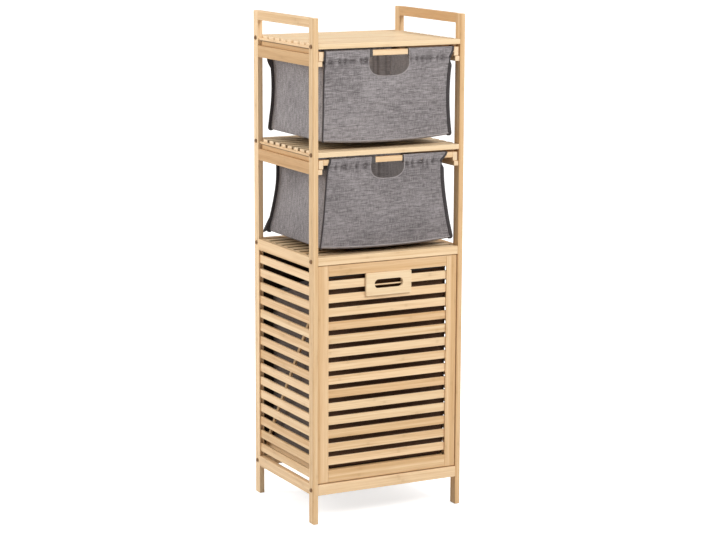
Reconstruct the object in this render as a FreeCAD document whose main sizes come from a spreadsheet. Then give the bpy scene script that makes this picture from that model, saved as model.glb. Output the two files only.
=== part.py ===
import FreeCAD, Part
import Sketcher
import os
import re

# A free-standing laundry cabinet of bamboo sticks: two hanging-bin drawers above a slatted bay,
# whose door tilts out about its lower edge and carries the laundry bag on two triangular arms.
# Frame: origin on the floor in the middle of the cabinet, +X right, +Y back, +Z up, millimetres.

DOC = FreeCAD.newDocument("laundry_cabinet")

SIZES = {
    # Side frames
    "cabinet_width": 400,
    "cabinet_depth": 325,
    "cabinet_height": 1200,
    "post_thick": 12.5,
    "post_width": 23.5,
    "handle_rail_height": 22.5,
    "side_rail_height": 28,
    "lower_rail_height": 27,
    "bottom_rail_height": 26,
    "leg_height": 70,
    "panel_slat_width": 22.5,
    "panel_slot": 11.5,
    "panel_slat_thick": 6,
    "panel_slat_recess": 3.5,
    "groove_depth": 6,
    # Shelves
    "handle_rise": 59.5,
    "lower_front_height": 19.5,
    "slat_thick": 12,
    "shelf_slat_width": 23.5,
    "batten_thick": 8,
    "batten_height": 12,
    "batten_tuck": 1.5,
    "batten_end_gap": 9,
    "edge_strip_thick": 6.5,
    "edge_strip_height": 6,
    "edge_strip_overhang": 3.5,
    "edge_strip_end_gap": 3,
    # Back of the laundry bay
    "back_thick": 3,
    "back_inset": 0.5,
    "back_groove": 4,
    # Drawer runners and drawer frames
    "runner_width": 12,
    "runner_height": 12,
    "runner_inset": 2.5,
    "drawer_bar_thick": 12.5,
    "drawer_bar_height": 21.5,
    "drawer_cross_width": 12.5,
    "drawer_cross_height": 13,
    "drawer_side_gap": 2.5,
    "drawer_front_inset": 3.5,
    "drawer_rear_inset": 22.5,
    # Fabric bins that hang in the drawer frames
    "bin_height": 211,
    "upper_bin_clear": 20.8,
    "lower_bin_clear": 17.3,
    "bin_wall": 2,
    "upper_hem_draw": 4,
    "lower_hem_draw": 19.5,
    "upper_foot_draw": 4.5,
    "lower_foot_draw": -1.5,
    "bin_front_taper": 15,
    "bin_rear_taper": 6,
    "hand_cut_width": 104,
    "hand_cut_depth": 60,
    "hand_cut_radius": 16,
    "bin_board_thick": 3,
    "bin_board_gap": 2,
    # Tilting door
    "door_thick": 14,
    "door_recess": 3,
    "door_side_gap": 1.5,
    "door_top_gap": 1.5,
    "door_bottom_gap": 1.8,
    "door_edge_round": 2.5,
    "stile_width": 27.5,
    "door_top_rail_height": 26,
    "door_bottom_rail_height": 30,
    "door_slat_width": 21.8,
    "door_slot": 11,
    "slat_lip": 3,
    "door_slat_thick": 6,
    "door_slat_recess": 4,
    "handle_plate_width": 122,
    "handle_plate_height": 55,
    "handle_plate_thick": 7,
    "handle_corner_round": 3,
    "handle_hole_length": 76,
    "handle_hole_height": 21.5,
    # Pivot, tilt stop and magnetic catch of the door
    "pin_radius": 3,
    "pin_height": 14.2,
    "pin_in_post": 9.5,
    "pin_in_stile": 10,
    "pin_clear": 0.05,
    "stop_width": 10,
    "stop_rise": 10,
    "stop_side_gap": 5,
    "catch_width": 40,
    "catch_depth": 12,
    "catch_height": 12,
    "catch_plate_thick": 1.2,
    # Bag carrier behind the door, and the bag
    "carrier_side_gap": 8,
    "arm_thick": 10.5,
    "arm_height": 26,
    "arm_clear": 16,
    "arm_rear_gap": 2,
    "brace_thick": 6,
    "brace_width": 9,
    "brace_head_drop": 70,
    "brace_foot_inset": 0.5,
    "carrier_slat_width": 22.5,
    "carrier_slat_thick": 12.5,
    "carrier_slat_inset": 26,
    "bag_wall": 2,
    "bag_side_gap": 2,
    "bag_rear_gap": 14,
    "bag_rim_gap": 24.4,
    "bag_rim_fall": 90,
    # Frame bolts
    "bolt_head_radius": 5,
    "bolt_head_height": 3.5,
    "bolt_crown_share": 0.62,
    "bolt_shank_radius": 3,
    "bolt_length": 50,
    "bolt_clear": 0.1,
    # Gap of parts that slide or hang on each other, and how far cutting shapes overrun
    "run_gap": 0.3,
    "overrun": 1,
}

SHELF_SLATS = 8
CARRIER_SLATS = 3

# Sizes and places that follow from the driving dimensions.
DERIVED = {
    "half_width": "cabinet_width / 2",
    "half_depth": "cabinet_depth / 2",
    "inner_half": "half_width - post_thick",
    "post_face": "half_depth - post_width",
    "bolt_row": "half_depth - post_width / 2",
    "shelf_slat_gap": f"(2 * post_face - {SHELF_SLATS} * shelf_slat_width) / {SHELF_SLATS + 1}",
    "shelf_slat_pitch": "shelf_slat_width + shelf_slat_gap",
    "batten_inner": "inner_half - batten_tuck",
    "batten_outer": "batten_inner + batten_thick",
    "strip_outer": "batten_outer + edge_strip_overhang",
    "strip_inner": "strip_outer - edge_strip_thick",
    "rail_drop": "slat_thick + batten_height + side_rail_height",
    "bar_drop": "rail_drop - runner_height - run_gap - drawer_bar_height",
    "upper_bay_height": "bar_drop + bin_height + upper_bin_clear",
    "lower_bay_height": "bar_drop + bin_height + lower_bin_clear",
    "top_shelf_level": "cabinet_height - handle_rise",
    "middle_shelf_level": "top_shelf_level - upper_bay_height",
    "lower_shelf_level": "middle_shelf_level - lower_bay_height",
    "bottom_rail_top": "leg_height + bottom_rail_height",
    "lower_rail_low": "lower_shelf_level - lower_rail_height",
    "lower_front_low": "lower_shelf_level - lower_front_height",
    "panel_outer": "half_width - panel_slat_recess",
    "panel_inner": "panel_outer - panel_slat_thick",
    "panel_height": "lower_rail_low - bottom_rail_top",
    "panel_slats": "round((panel_height - panel_slot) / (panel_slat_width + panel_slot))",
    "panel_slat_gap": "(panel_height - panel_slats * panel_slat_width) / (panel_slats + 1)",
    "back_outer": "half_depth - back_inset",
    "back_inner": "back_outer - back_thick",
    "upper_runner_low": "top_shelf_level - rail_drop",
    "lower_runner_low": "middle_shelf_level - rail_drop",
    "drawer_bar_inner": "inner_half - drawer_side_gap - drawer_bar_thick",
    "drawer_front": "drawer_front_inset - half_depth",
    "drawer_rear": "half_depth - drawer_rear_inset",
    "hem_skin": "bin_wall + run_gap",
    "upper_hem_half": "drawer_bar_inner - upper_hem_draw",
    "lower_hem_half": "drawer_bar_inner - lower_hem_draw",
    "hem_front": "drawer_front - hem_skin",
    "hem_front_back": "drawer_front + drawer_cross_width + hem_skin",
    "hem_rear": "drawer_rear + hem_skin",
    "hem_rear_front": "drawer_rear - drawer_cross_width - hem_skin",
    "upper_foot_half": "drawer_bar_inner - upper_foot_draw",
    "lower_foot_half": "drawer_bar_inner - lower_foot_draw",
    "bin_foot_front": "hem_front + bin_front_taper",
    "bin_foot_rear": "hem_rear - bin_rear_taper",
    "board_margin": "bin_wall + bin_board_gap",
    "door_half": "inner_half - door_side_gap",
    "door_front": "door_recess - half_depth",
    "door_back": "door_front + door_thick",
    "door_low": "bottom_rail_top + door_bottom_gap",
    "door_top": "lower_front_low - door_top_gap",
    "stile_inner": "door_half - stile_width",
    "door_slat_front": "door_front + door_slat_recess",
    "door_slat_back": "door_slat_front + door_slat_thick",
    "door_slats_low": "door_low + door_bottom_rail_height",
    "door_slats_top": "door_top - door_top_rail_height",
    "door_slats_height": "door_slats_top - door_slats_low",
    "door_slats": "round((door_slats_height - door_slot) / (door_slat_width + door_slot))",
    "door_slat_gap": "(door_slats_height - door_slats * door_slat_width) / (door_slats + 1)",
    "handle_hole_radius": "handle_hole_height / 2",
    "handle_hole_reach": "handle_hole_length / 2 - handle_hole_radius",
    "handle_hole_level": "door_slats_top - handle_plate_height / 2",
    "pin_y": "door_front + door_thick / 2",
    "pin_z": "door_low + pin_height",
    "brace_inner": "inner_half - carrier_side_gap - brace_thick",
    "arm_inner": "brace_inner - arm_thick",
    "arm_low": "bottom_rail_top + arm_clear",
    "arm_rear": "back_inner - arm_rear_gap",
    "arm_length": "arm_rear - door_back",
    "brace_run": "arm_length - brace_foot_inset",
    "brace_rise": "door_top - brace_head_drop - arm_low",
    "brace_length": "sqrt(brace_run * brace_run + brace_rise * brace_rise)",
    "brace_half_foot": "brace_width / 2 * brace_length / brace_rise",
    "brace_half_head": "brace_width / 2 * brace_length / brace_run",
    "brace_heel": "(brace_half_foot - brace_foot_inset) * brace_rise / brace_run",
    "carrier_slat_first": "door_back + carrier_slat_inset",
    "carrier_slat_run": "arm_rear - carrier_slat_width - carrier_slat_first",
    "bag_half": "arm_inner - bag_side_gap",
    "bag_front": "door_back + run_gap",
    "bag_depth": "arm_rear - bag_rear_gap - bag_front",
    "bag_low": "arm_low + carrier_slat_thick + run_gap",
    "bag_front_height": "lower_front_low - bag_rim_gap - bag_low",
    "bag_rear_height": "bag_front_height - bag_rim_fall",
}

SIDES = ("left", "right")
ENDS = ("front", "rear")
LEVELS = {
    "top_shelf": "top_shelf_level - slat_thick / 2",
    "middle_shelf": "middle_shelf_level - slat_thick / 2",
    "lower_shelf": "lower_shelf_level - lower_front_height / 2",
    "bottom": "leg_height + bottom_rail_height / 2",
}
ALONG_X = FreeCAD.Rotation(FreeCAD.Vector(0, 1, 0), 90)
AGAINST_X = FreeCAD.Rotation(FreeCAD.Vector(0, 1, 0), -90)
ALONG_Y = FreeCAD.Rotation(FreeCAD.Vector(1, 0, 0), -90)
UPRIGHT = FreeCAD.Rotation(FreeCAD.Vector(1, 0, 0), 90)
SIDEWAYS = FreeCAD.Rotation(FreeCAD.Vector(1, 1, 1), 120)
NEAR_ZERO = 1e-6

NODES = []


def fill_sheet():
    """Write the driving dimensions into the sheet, one aliased cell each."""
    sheet = DOC.addObject("Spreadsheet::Sheet", "Sizes")
    for row, (alias, value) in enumerate(SIZES.items(), start=1):
        sheet.set(f"A{row}", alias)
        sheet.set(f"B{row}", str(value))
        sheet.setAlias(f"B{row}", alias)
    DOC.recompute()
    return sheet


SHEET = fill_sheet()


def expand(text):
    """Turn a sum of plain names into an expression on the sheet's cells."""

    def swap(match):
        word = match.group(0)
        if word in DERIVED:
            return f"({expand(DERIVED[word])})"
        if word in SIZES:
            return f"Sizes.{word}"
        return word

    return re.sub(r"[a-z][a-z_]*", swap, text)


def value(text):
    """The present value of a sum of names."""
    return float(SHEET.evalExpression(expand(text)))


def count(text):
    """How many copies a row has now."""
    return round(value(text))


def node(item):
    """Keep a finished piece for writing."""
    NODES.append(item)
    return item


def bound(kind, name, sizes):
    """An object whose properties are bound to the sheet."""
    item = DOC.addObject(kind, name)
    item.Label = name
    for key, text in sizes.items():
        item.setExpression(key, expand(text))
    return item


def place(item, x, y, z, rotation=FreeCAD.Rotation()):
    """Turn an object, then bind where its own origin stands."""
    item.Placement = FreeCAD.Placement(FreeCAD.Vector(), rotation)
    for key, text in zip("xyz", (x, y, z)):
        item.setExpression(f"Placement.Base.{key}", expand(text))
    return item


def block(name, x, y, z):
    """A square-edged stick or board between the low and high places on each axis."""
    spans = {}
    for key, (low, high) in zip(("Length", "Width", "Height"), (x, y, z)):
        spans[key] = f"({high}) - ({low})"
    item = bound("Part::Box", name, spans)
    return place(item, x[0], y[0], z[0])


def rod(name, x, y, z, radius):
    """A round rod along X."""
    item = bound("Part::Cylinder", name, {"Radius": radius, "Height": f"({x[1]}) - ({x[0]})"})
    return place(item, x[0], y, z, ALONG_X)


def group(name, members):
    """Several separate solids kept as one piece list."""
    item = DOC.addObject("Part::Compound", name)
    item.Label = name
    item.Links = members
    return item


def fuse(name, members):
    item = DOC.addObject("Part::MultiFuse", name)
    item.Label = name
    item.Shapes = members
    return item


def cut(name, base, tools):
    """The base with all the tools taken out of it."""
    item = DOC.addObject("Part::Cut", name)
    item.Label = name
    item.Base = base
    item.Tool = tools[0] if len(tools) == 1 else group(f"{name}_cuts", tools)
    return item


def sided(side, near, far):
    """Low and high X of what lies from near to far of the middle plane, on one side."""
    return (f"-({far})", f"-({near})") if side == "left" else (near, far)


def ended(end, near, far):
    """Low and high Y of what lies from near to far of the middle plane, at one end."""
    return (f"-({far})", f"-({near})") if end == "front" else (near, far)


def across(half):
    """Low and high of what is centred on the middle plane."""
    return f"-({half})", half


def stack(low, height):
    """Low and high of what rises by a height."""
    return low, f"{low} + {height}"


def padded(name, points, depth):
    """A body padded from an outline whose corners are bound to the sheet."""
    body = DOC.addObject("PartDesign::Body", name)
    body.Label = name
    plane = [item for item in body.Origin.OriginFeatures if item.Role == "XY_Plane"][0]
    sketch = body.newObject("Sketcher::SketchObject", f"{name}_outline")
    sketch.AttachmentSupport = [(plane, "")]
    sketch.MapMode = "FlatFace"
    corners = [FreeCAD.Vector(value(x), value(y), 0) for x, y in points]
    count = len(corners)
    for index in range(count):
        sketch.addGeometry(Part.LineSegment(corners[index], corners[(index + 1) % count]))
    for index in range(count):
        sketch.addConstraint(Sketcher.Constraint("Coincident", index, 2, (index + 1) % count, 1))
    for index, texts in enumerate(points):
        for kind, text, at in zip(("DistanceX", "DistanceY"), texts, corners[index]):
            number = sketch.addConstraint(Sketcher.Constraint(kind, -1, 1, index, 1, at))
            sketch.setExpression(f"Constraints[{number}]", expand(text))
    pad = body.newObject("PartDesign::Pad", f"{name}_pad")
    pad.Profile = sketch
    pad.setExpression("Length", expand(depth))
    DOC.recompute()
    return body


def rounded(body, chosen, radius):
    """Round those edges of a body's last feature that the chosen test picks."""
    last = body.Tip
    names = [f"Edge{number}" for number, edge in enumerate(last.Shape.Edges, start=1) if chosen(edge)]
    fillet = body.newObject("PartDesign::Fillet", f"{body.Label}_rounding")
    fillet.Base = (last, names)
    fillet.setExpression("Radius", expand(radius))
    DOC.recompute()
    return body


def is_front_foot(edge):
    """Whether an edge runs along the lower front corner of a body drawn from its own origin."""
    return all(abs(spot.Y) < NEAR_ZERO and abs(spot.Z) < NEAR_ZERO for spot in edge.Vertexes)


def is_upright(edge):
    """Whether an edge runs along a body's pad direction."""
    first, last = edge.Vertexes[0].Point, edge.Vertexes[-1].Point
    return abs(first.x - last.x) < NEAR_ZERO and abs(first.y - last.y) < NEAR_ZERO


# Bolts through the posts into the ends of the front and rear boards, and the holes that they need.
def build_bolts():
    holes = {}
    bolts = []
    for side in SIDES:
        for end in ENDS:
            row = "-(bolt_row)" if end == "front" else "bolt_row"
            for level, height in LEVELS.items():
                spot = f"{side}_{end}_{level}"
                bore = sided(side, "half_width - bolt_length - bolt_clear", "half_width + overrun")
                holes[side, end, level] = rod(
                    f"{spot}_bolt_hole", bore, row, height, "bolt_shank_radius + bolt_clear"
                )
                span = sided(side, "half_width - bolt_length", "half_width + bolt_head_height / 2")
                shank = rod(f"{spot}_bolt_shank", span, row, height, "bolt_shank_radius")
                crown = "bolt_head_radius * bolt_crown_share"
                sizes = {"Radius1": "bolt_head_radius", "Radius2": crown, "Height": "bolt_head_height"}
                head = bound("Part::Cone", f"{spot}_bolt_head", sizes)
                seat = "-(half_width)" if side == "left" else "half_width"
                place(head, seat, row, height, AGAINST_X if side == "left" else ALONG_X)
                bolts.append(fuse(f"{spot}_bolt", [shank, head]))
    node(group("frame_bolts", bolts))
    return holes


# Four full-height posts, grooved for the side slats and the back panel.
def build_posts(holes):
    bay = ("bottom_rail_top", "lower_rail_low")
    for side in SIDES:
        for end in ENDS:
            name = f"{side}_{end}_post"
            x = sided(side, "inner_half", "half_width")
            blank = block(f"{name}_blank", x, ended(end, "post_face", "half_depth"), ("0", "cabinet_height"))
            cuts = [holes[side, end, level] for level in LEVELS]
            slot_x = sided(side, "panel_inner", "panel_outer")
            slot_y = ended(end, "post_face - overrun", "post_face + groove_depth")
            cuts.append(block(f"{name}_slat_groove", slot_x, slot_y, bay))
            if end == "rear":
                slot_x = sided(side, "inner_half - overrun", "inner_half + back_groove")
                slot_z = ("bottom_rail_top", "lower_front_low")
                cuts.append(block(f"{name}_back_groove", slot_x, ("back_inner", "back_outer"), slot_z))
            else:
                bore_x = sided(side, "inner_half - overrun", "inner_half + pin_in_post + pin_clear")
                cuts.append(rod(f"{name}_pin_bore", bore_x, "pin_y", "pin_z", "pin_radius + pin_clear"))
            node(cut(name, blank, cuts))


# Rails between the posts of each side frame, and the slats let into the posts below them.
def build_side_frames():
    rails = {
        "handle": ("cabinet_height - handle_rail_height", "handle_rail_height"),
        "top": ("upper_runner_low", "side_rail_height"),
        "middle": ("lower_runner_low", "side_rail_height"),
        "lower": ("lower_rail_low", "lower_rail_height"),
        "bottom": ("leg_height", "bottom_rail_height"),
    }
    for side in SIDES:
        x = sided(side, "inner_half", "half_width")
        for rail, (low, height) in rails.items():
            node(block(f"{side}_{rail}_rail", x, across("post_face"), stack(low, height)))
        slats = []
        for index in range(count("panel_slats")):
            low = f"bottom_rail_top + panel_slat_gap + {index} * (panel_slat_width + panel_slat_gap)"
            slats.append(
                block(
                    f"{side}_side_slat_{index + 1}",
                    sided(side, "panel_inner", "panel_outer"),
                    across("post_face + groove_depth"),
                    stack(low, "panel_slat_width"),
                )
            )
        node(group(f"{side}_side_slats", slats))


def shelf_slats(shelf, half, level):
    """The row of slats of one shelf, evenly spaced between the front and the rear posts."""
    slats = []
    for index in range(SHELF_SLATS):
        low = f"shelf_slat_gap - post_face + {index} * shelf_slat_pitch"
        z = stack(f"{level} - slat_thick", "slat_thick")
        slats.append(block(f"{shelf}_slat_{index + 1}", across(half), stack(low, "shelf_slat_width"), z))
    node(group(f"{shelf}_slats", slats))


def bolted_board(name, level, end, z, holes):
    """A board between the posts, drilled in both ends for its bolts."""
    blank = block(f"{name}_blank", across("inner_half"), ended(end, "post_face", "half_depth"), z)
    node(cut(name, blank, [holes[side, end, level] for side in SIDES]))


# Two slatted shelves, whose slats lie on battens above the side rails, behind thin edge strips.
def build_open_shelves(holes):
    for shelf in ("top_shelf", "middle_shelf"):
        level = f"{shelf}_level"
        for end in ENDS:
            z = stack(f"{level} - slat_thick", "slat_thick")
            bolted_board(f"{shelf}_{end}_board", shelf, end, z, holes)
        shelf_slats(shelf, "strip_inner", level)
        battens = []
        for side in SIDES:
            x = sided(side, "batten_inner", "batten_outer")
            z = stack(f"{level} - slat_thick - batten_height", "batten_height")
            battens.append(block(f"{shelf}_{side}_batten", x, across("post_face - batten_end_gap"), z))
            x = sided(side, "strip_inner", "strip_outer")
            z = stack(f"{level} - slat_thick", "edge_strip_height")
            y = across("post_face - edge_strip_end_gap")
            battens.append(block(f"{shelf}_{side}_edge_strip", x, y, z))
        node(group(f"{shelf}_battens", battens))


# The slatted roof of the laundry bay, set between its side rails.
def build_lower_shelf(holes):
    for end in ENDS:
        z = ("lower_front_low", "lower_shelf_level")
        bolted_board(f"lower_shelf_{end}_rail", "lower_shelf", end, z, holes)
    shelf_slats("lower_shelf", "inner_half", "lower_shelf_level")
    battens = []
    for side in SIDES:
        x = sided(side, "inner_half - batten_thick", "inner_half")
        z = stack("lower_shelf_level - slat_thick - batten_height", "batten_height")
        battens.append(block(f"lower_shelf_{side}_batten", x, across("post_face"), z))
    node(group("lower_shelf_battens", battens))


# Rails at the foot of the bay, the strip that stops the tilting door, the back panel and the catch.
def build_bay(holes):
    for end in ENDS:
        z = ("leg_height", "bottom_rail_top")
        bolted_board(f"bottom_{end}_rail", "bottom", end, z, holes)
    strip_y = stack("-(post_face)", "stop_width")
    strip_z = ("leg_height", "bottom_rail_top + stop_rise")
    node(block("tilt_stop_strip", across("arm_inner - stop_side_gap"), strip_y, strip_z))
    panel_z = ("bottom_rail_top", "lower_front_low")
    node(block("back_panel", across("inner_half + back_groove"), ("back_inner", "back_outer"), panel_z))
    catch_y = stack("door_back + catch_plate_thick + run_gap", "catch_depth")
    catch_z = stack("lower_front_low - catch_height", "catch_height")
    node(block("catch_magnet", across("catch_width / 2"), catch_y, catch_z))
    pins = []
    for side in SIDES:
        x = sided(side, "door_half - pin_in_stile", "inner_half + pin_in_post")
        pins.append(rod(f"{side}_hinge_pin", x, "pin_y", "pin_z", "pin_radius"))
    node(group("hinge_pins", pins))


# A drawer: two runners on the cabinet, a frame of four bars, and a fabric bin hung in the frame.
def build_drawer(drawer):
    runner_low = f"{drawer}_runner_low"
    bar_low = f"{runner_low} + runner_height + run_gap"
    bar_top = f"({bar_low} + drawer_bar_height)"
    cross_low = f"({bar_top} - drawer_cross_height)"
    runners = []
    bars = []
    for side in SIDES:
        x = sided(side, "inner_half - runner_width", "inner_half")
        z = stack(runner_low, "runner_height")
        runners.append(block(f"{drawer}_{side}_runner", x, across("half_depth - runner_inset"), z))
        x = sided(side, "drawer_bar_inner", "drawer_bar_inner + drawer_bar_thick")
        z = stack(bar_low, "drawer_bar_height")
        bars.append(block(f"{drawer}_{side}_bar", x, ("drawer_front", "drawer_rear"), z))
    node(group(f"{drawer}_drawer_runners", runners))
    node(group(f"{drawer}_drawer_side_bars", bars))
    cross_x = across("drawer_bar_inner")
    front_y = stack("drawer_front", "drawer_cross_width")
    rear_y = ("drawer_rear - drawer_cross_width", "drawer_rear")
    node(block(f"{drawer}_drawer_front_bar", cross_x, front_y, (cross_low, bar_top)))
    node(block(f"{drawer}_drawer_rear_bar", cross_x, rear_y, (cross_low, bar_top)))
    build_bin(drawer, bar_top, cross_low)


def tapered_box(name, low, high, foot, top):
    """A box whose foot and top are rectangles of X half, Y front and Y rear."""
    sizes = {"Ymin": "0", "Ymax": f"({high}) - ({low})"}
    for prefix, (half, front, rear) in (("", foot), ("2", top)):
        sizes[f"X{prefix}min"] = f"-({half})"
        sizes[f"X{prefix}max"] = half
        sizes[f"Z{prefix}min"] = f"-({rear})"
        sizes[f"Z{prefix}max"] = f"-({front})"
    return place(bound("Part::Wedge", name, sizes), "0", "0", low, UPRIGHT)


def hand_hole(drawer, bar_top, hem_top):
    """The cut-out below the front bar, square at the top and rounded at its lower corners."""
    y = ("hem_front - overrun", "hem_front_back + overrun")
    low = f"{bar_top} - hand_cut_depth"
    half = "hand_cut_width / 2"
    shoulder = f"{low} + hand_cut_radius"
    name = f"{drawer}_hand_cut"
    pieces = [
        block(f"{name}_top", across(half), y, (shoulder, f"{hem_top} + overrun")),
        block(f"{name}_foot", across(f"{half} - hand_cut_radius"), y, stack(low, "2 * hand_cut_radius")),
    ]
    for side in SIDES:
        sizes = {"Radius": "hand_cut_radius", "Height": f"({y[1]}) - ({y[0]})"}
        corner = bound("Part::Cylinder", f"{name}_{side}_corner", sizes)
        x = sided(side, f"{half} - hand_cut_radius", "0")[1 if side == "left" else 0]
        pieces.append(place(corner, x, y[0], shoulder, ALONG_Y))
    return fuse(name, pieces)


def build_bin(drawer, bar_top, cross_low):
    """A tapered fabric bin with hem sleeves round the cross bars, and its stiff base board."""
    name = f"{drawer}_bin"
    low = f"({bar_top} - bin_height)"
    hem_low = f"({cross_low} - hem_skin)"
    hem_top = f"({bar_top} + hem_skin)"
    hem_half = f"{drawer}_hem_half"
    foot_half = f"{drawer}_foot_half"
    foot = (foot_half, "bin_foot_front", "bin_foot_rear")
    top = (hem_half, "hem_front", "hem_rear")
    skin = tapered_box(f"{name}_skin", low, hem_low, foot, top)
    hem = block(f"{name}_hem", across(hem_half), ("hem_front", "hem_rear"), (hem_low, hem_top))
    inner_foot = (f"{foot_half} - bin_wall", "bin_foot_front + bin_wall", "bin_foot_rear - bin_wall")
    inner_top = (f"{hem_half} - bin_wall", "hem_front + bin_wall", "hem_rear - bin_wall")
    tunnel_z = (f"{cross_low} - run_gap", f"{bar_top} + run_gap")
    tunnel_x = across(f"{hem_half} + overrun")
    front_y = ("drawer_front - run_gap", "drawer_front + drawer_cross_width + run_gap")
    rear_y = ("drawer_rear - drawer_cross_width - run_gap", "drawer_rear + run_gap")
    mouth_y = ("hem_front_back", "hem_rear_front")
    mouth_z = (f"{hem_low} - overrun", f"{hem_top} + overrun")
    hollows = [
        tapered_box(f"{name}_hollow", f"{low} + bin_wall", hem_low, inner_foot, inner_top),
        block(f"{name}_mouth", across(f"{hem_half} - bin_wall"), mouth_y, mouth_z),
        block(f"{name}_front_sleeve", tunnel_x, front_y, tunnel_z),
        block(f"{name}_rear_sleeve", tunnel_x, rear_y, tunnel_z),
        hand_hole(drawer, bar_top, hem_top),
    ]
    node(cut(name, fuse(f"{name}_outside", [skin, hem]), [fuse(f"{name}_inside", hollows)]))
    board_y = ("bin_foot_front + board_margin", "bin_foot_rear - board_margin")
    board_z = stack(f"{low} + bin_wall", "bin_board_thick")
    node(block(f"{name}_base_board", across(f"{foot_half} - board_margin"), board_y, board_z))


# The stadium-shaped grip hole through the handle plate and the slat behind it, which keeps a lip.
def grip_hole():
    y = ("-(half_depth) - overrun", "door_back + overrun")
    z = ("handle_hole_level - handle_hole_radius", "handle_hole_level + handle_hole_radius")
    pieces = [block("grip_hole_middle", across("handle_hole_reach"), y, z)]
    for side in SIDES:
        sizes = {"Radius": "handle_hole_radius", "Height": f"({y[1]}) - ({y[0]})"}
        end = bound("Part::Cylinder", f"grip_hole_{side}_end", sizes)
        x = "-(handle_hole_reach)" if side == "left" else "handle_hole_reach"
        pieces.append(place(end, x, y[0], "handle_hole_level", ALONG_Y))
    return fuse("grip_hole", pieces)


def door_stick(name, x, z, cuts=()):
    """A stick of the door's frame, whose lower front edge is rounded where the name asks for it."""
    width = f"({x[1]}) - ({x[0]})"
    corners = [("0", "0"), (width, "0"), (width, "door_thick"), ("0", "door_thick")]
    label = f"{name}_blank" if cuts else name
    body = padded(label, corners, f"({z[1]}) - ({z[0]})")
    rounded(body, is_front_foot, "door_edge_round")
    place(body, x[0], "door_front", z[0])
    node(cut(name, body, list(cuts)) if cuts else body)


# The slatted door with its handle plate and the steel plate of the catch.
def build_door():
    z = ("door_low", "door_top")
    for side in SIDES:
        rabbet = block(
            f"door_{side}_rabbet",
            sided(side, "stile_inner - overrun", "stile_inner + groove_depth"),
            ("door_slat_front", "door_back + overrun"),
            ("door_slats_low", "door_slats_top"),
        )
        bore_x = sided(side, "door_half - pin_in_stile - pin_clear", "door_half + overrun")
        bore = rod(f"door_{side}_pin_bore", bore_x, "pin_y", "pin_z", "pin_radius + pin_clear")
        door_stick(f"door_{side}_stile", sided(side, "stile_inner", "door_half"), z, [rabbet, bore])
    door_stick("door_bottom_rail", across("stile_inner"), stack("door_low", "door_bottom_rail_height"))
    rail_y = ("door_front", "door_back")
    node(block("door_top_rail", across("stile_inner"), rail_y, ("door_slats_top", "door_top")))
    grip = grip_hole()
    slats = []
    for index in range(count("door_slats")):
        name = f"door_slat_{index + 1}"
        top = f"door_slats_top - door_slat_gap - {index} * (door_slat_width + door_slat_gap)"
        slat_y = ("door_slat_front", "door_slat_back")
        x = across("stile_inner + groove_depth")
        slat_z = (f"{top} - door_slat_width", top)
        behind_grip = value(slat_z[0]) < value("handle_hole_level + handle_hole_radius")
        behind_grip = behind_grip and value(top) > value("handle_hole_level - handle_hole_radius")
        if behind_grip:
            shoulder = f"{slat_z[0]} + slat_lip"
            upper = cut(f"{name}_upper", block(f"{name}_blank", x, slat_y, (shoulder, top)), [grip])
            lip = block(f"{name}_lip", x, slat_y, (slat_z[0], shoulder))
            slats.append(fuse(name, [upper, lip]))
        else:
            slats.append(block(name, x, slat_y, slat_z))
    node(group("door_slats", slats))
    corners = [
        ("0", "0"),
        ("handle_plate_width", "0"),
        ("handle_plate_width", "handle_plate_height"),
        ("0", "handle_plate_height"),
    ]
    plate = padded("handle_plate_blank", corners, "handle_plate_thick")
    rounded(plate, is_upright, "handle_corner_round")
    low = "door_slats_top - handle_plate_height"
    place(plate, "-(handle_plate_width) / 2", "door_slat_front", low, UPRIGHT)
    node(cut("handle_plate", plate, [grip]))
    strike_y = stack("door_back", "catch_plate_thick")
    node(block("catch_plate", across("catch_width / 2"), strike_y, ("door_top - catch_height", "door_top")))


# The triangular carrier behind the door: foot arms, sloping braces lapped on their outer faces,
# and the slats under the bag.
def build_carrier():
    outline = [
        ("0", "brace_rise - brace_half_head"),
        ("brace_run - brace_half_foot", "0"),
        ("arm_length", "0"),
        ("arm_length", "brace_heel"),
        ("0", "brace_rise + brace_half_head"),
    ]
    for side in SIDES:
        x = sided(side, "arm_inner", "brace_inner")
        node(block(f"carrier_{side}_arm", x, ("door_back", "arm_rear"), stack("arm_low", "arm_height")))
        brace = padded(f"carrier_{side}_brace", outline, "brace_thick")
        x = sided(side, "brace_inner", "brace_inner + brace_thick")
        node(place(brace, x[0], "door_back", "arm_low", SIDEWAYS))
    slats = []
    for index in range(CARRIER_SLATS):
        low = f"carrier_slat_first + {index} * carrier_slat_run / {CARRIER_SLATS - 1}"
        z = stack("arm_low", "carrier_slat_thick")
        slats.append(
            block(f"carrier_slat_{index + 1}", across("arm_inner"), stack(low, "carrier_slat_width"), z)
        )
    node(group("carrier_slats", slats))


def sloped_box(name, half, front, depth, low, front_rise, rear_rise):
    """A box whose top slopes from a front height to a rear height."""
    sizes = {"Ymin": "0", "Ymax": depth, "Zmin": "0", "Z2min": "0", "Zmax": front_rise, "Z2max": rear_rise}
    for prefix in ("", "2"):
        sizes[f"X{prefix}min"] = f"-({half})"
        sizes[f"X{prefix}max"] = half
    return place(bound("Part::Wedge", name, sizes), "0", front, low)


# The open laundry bag, cut lower at the back so that it clears the shelf above as it tilts.
def build_bag():
    outside = sloped_box(
        "laundry_bag_outside",
        "bag_half",
        "bag_front",
        "bag_depth",
        "bag_low",
        "bag_front_height",
        "bag_rear_height",
    )
    inside = sloped_box(
        "laundry_bag_inside",
        "bag_half - bag_wall",
        "bag_front + bag_wall",
        "bag_depth - 2 * bag_wall",
        "bag_low + bag_wall",
        "bag_front_height",
        "bag_rear_height",
    )
    node(cut("laundry_bag", outside, [inside]))


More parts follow.
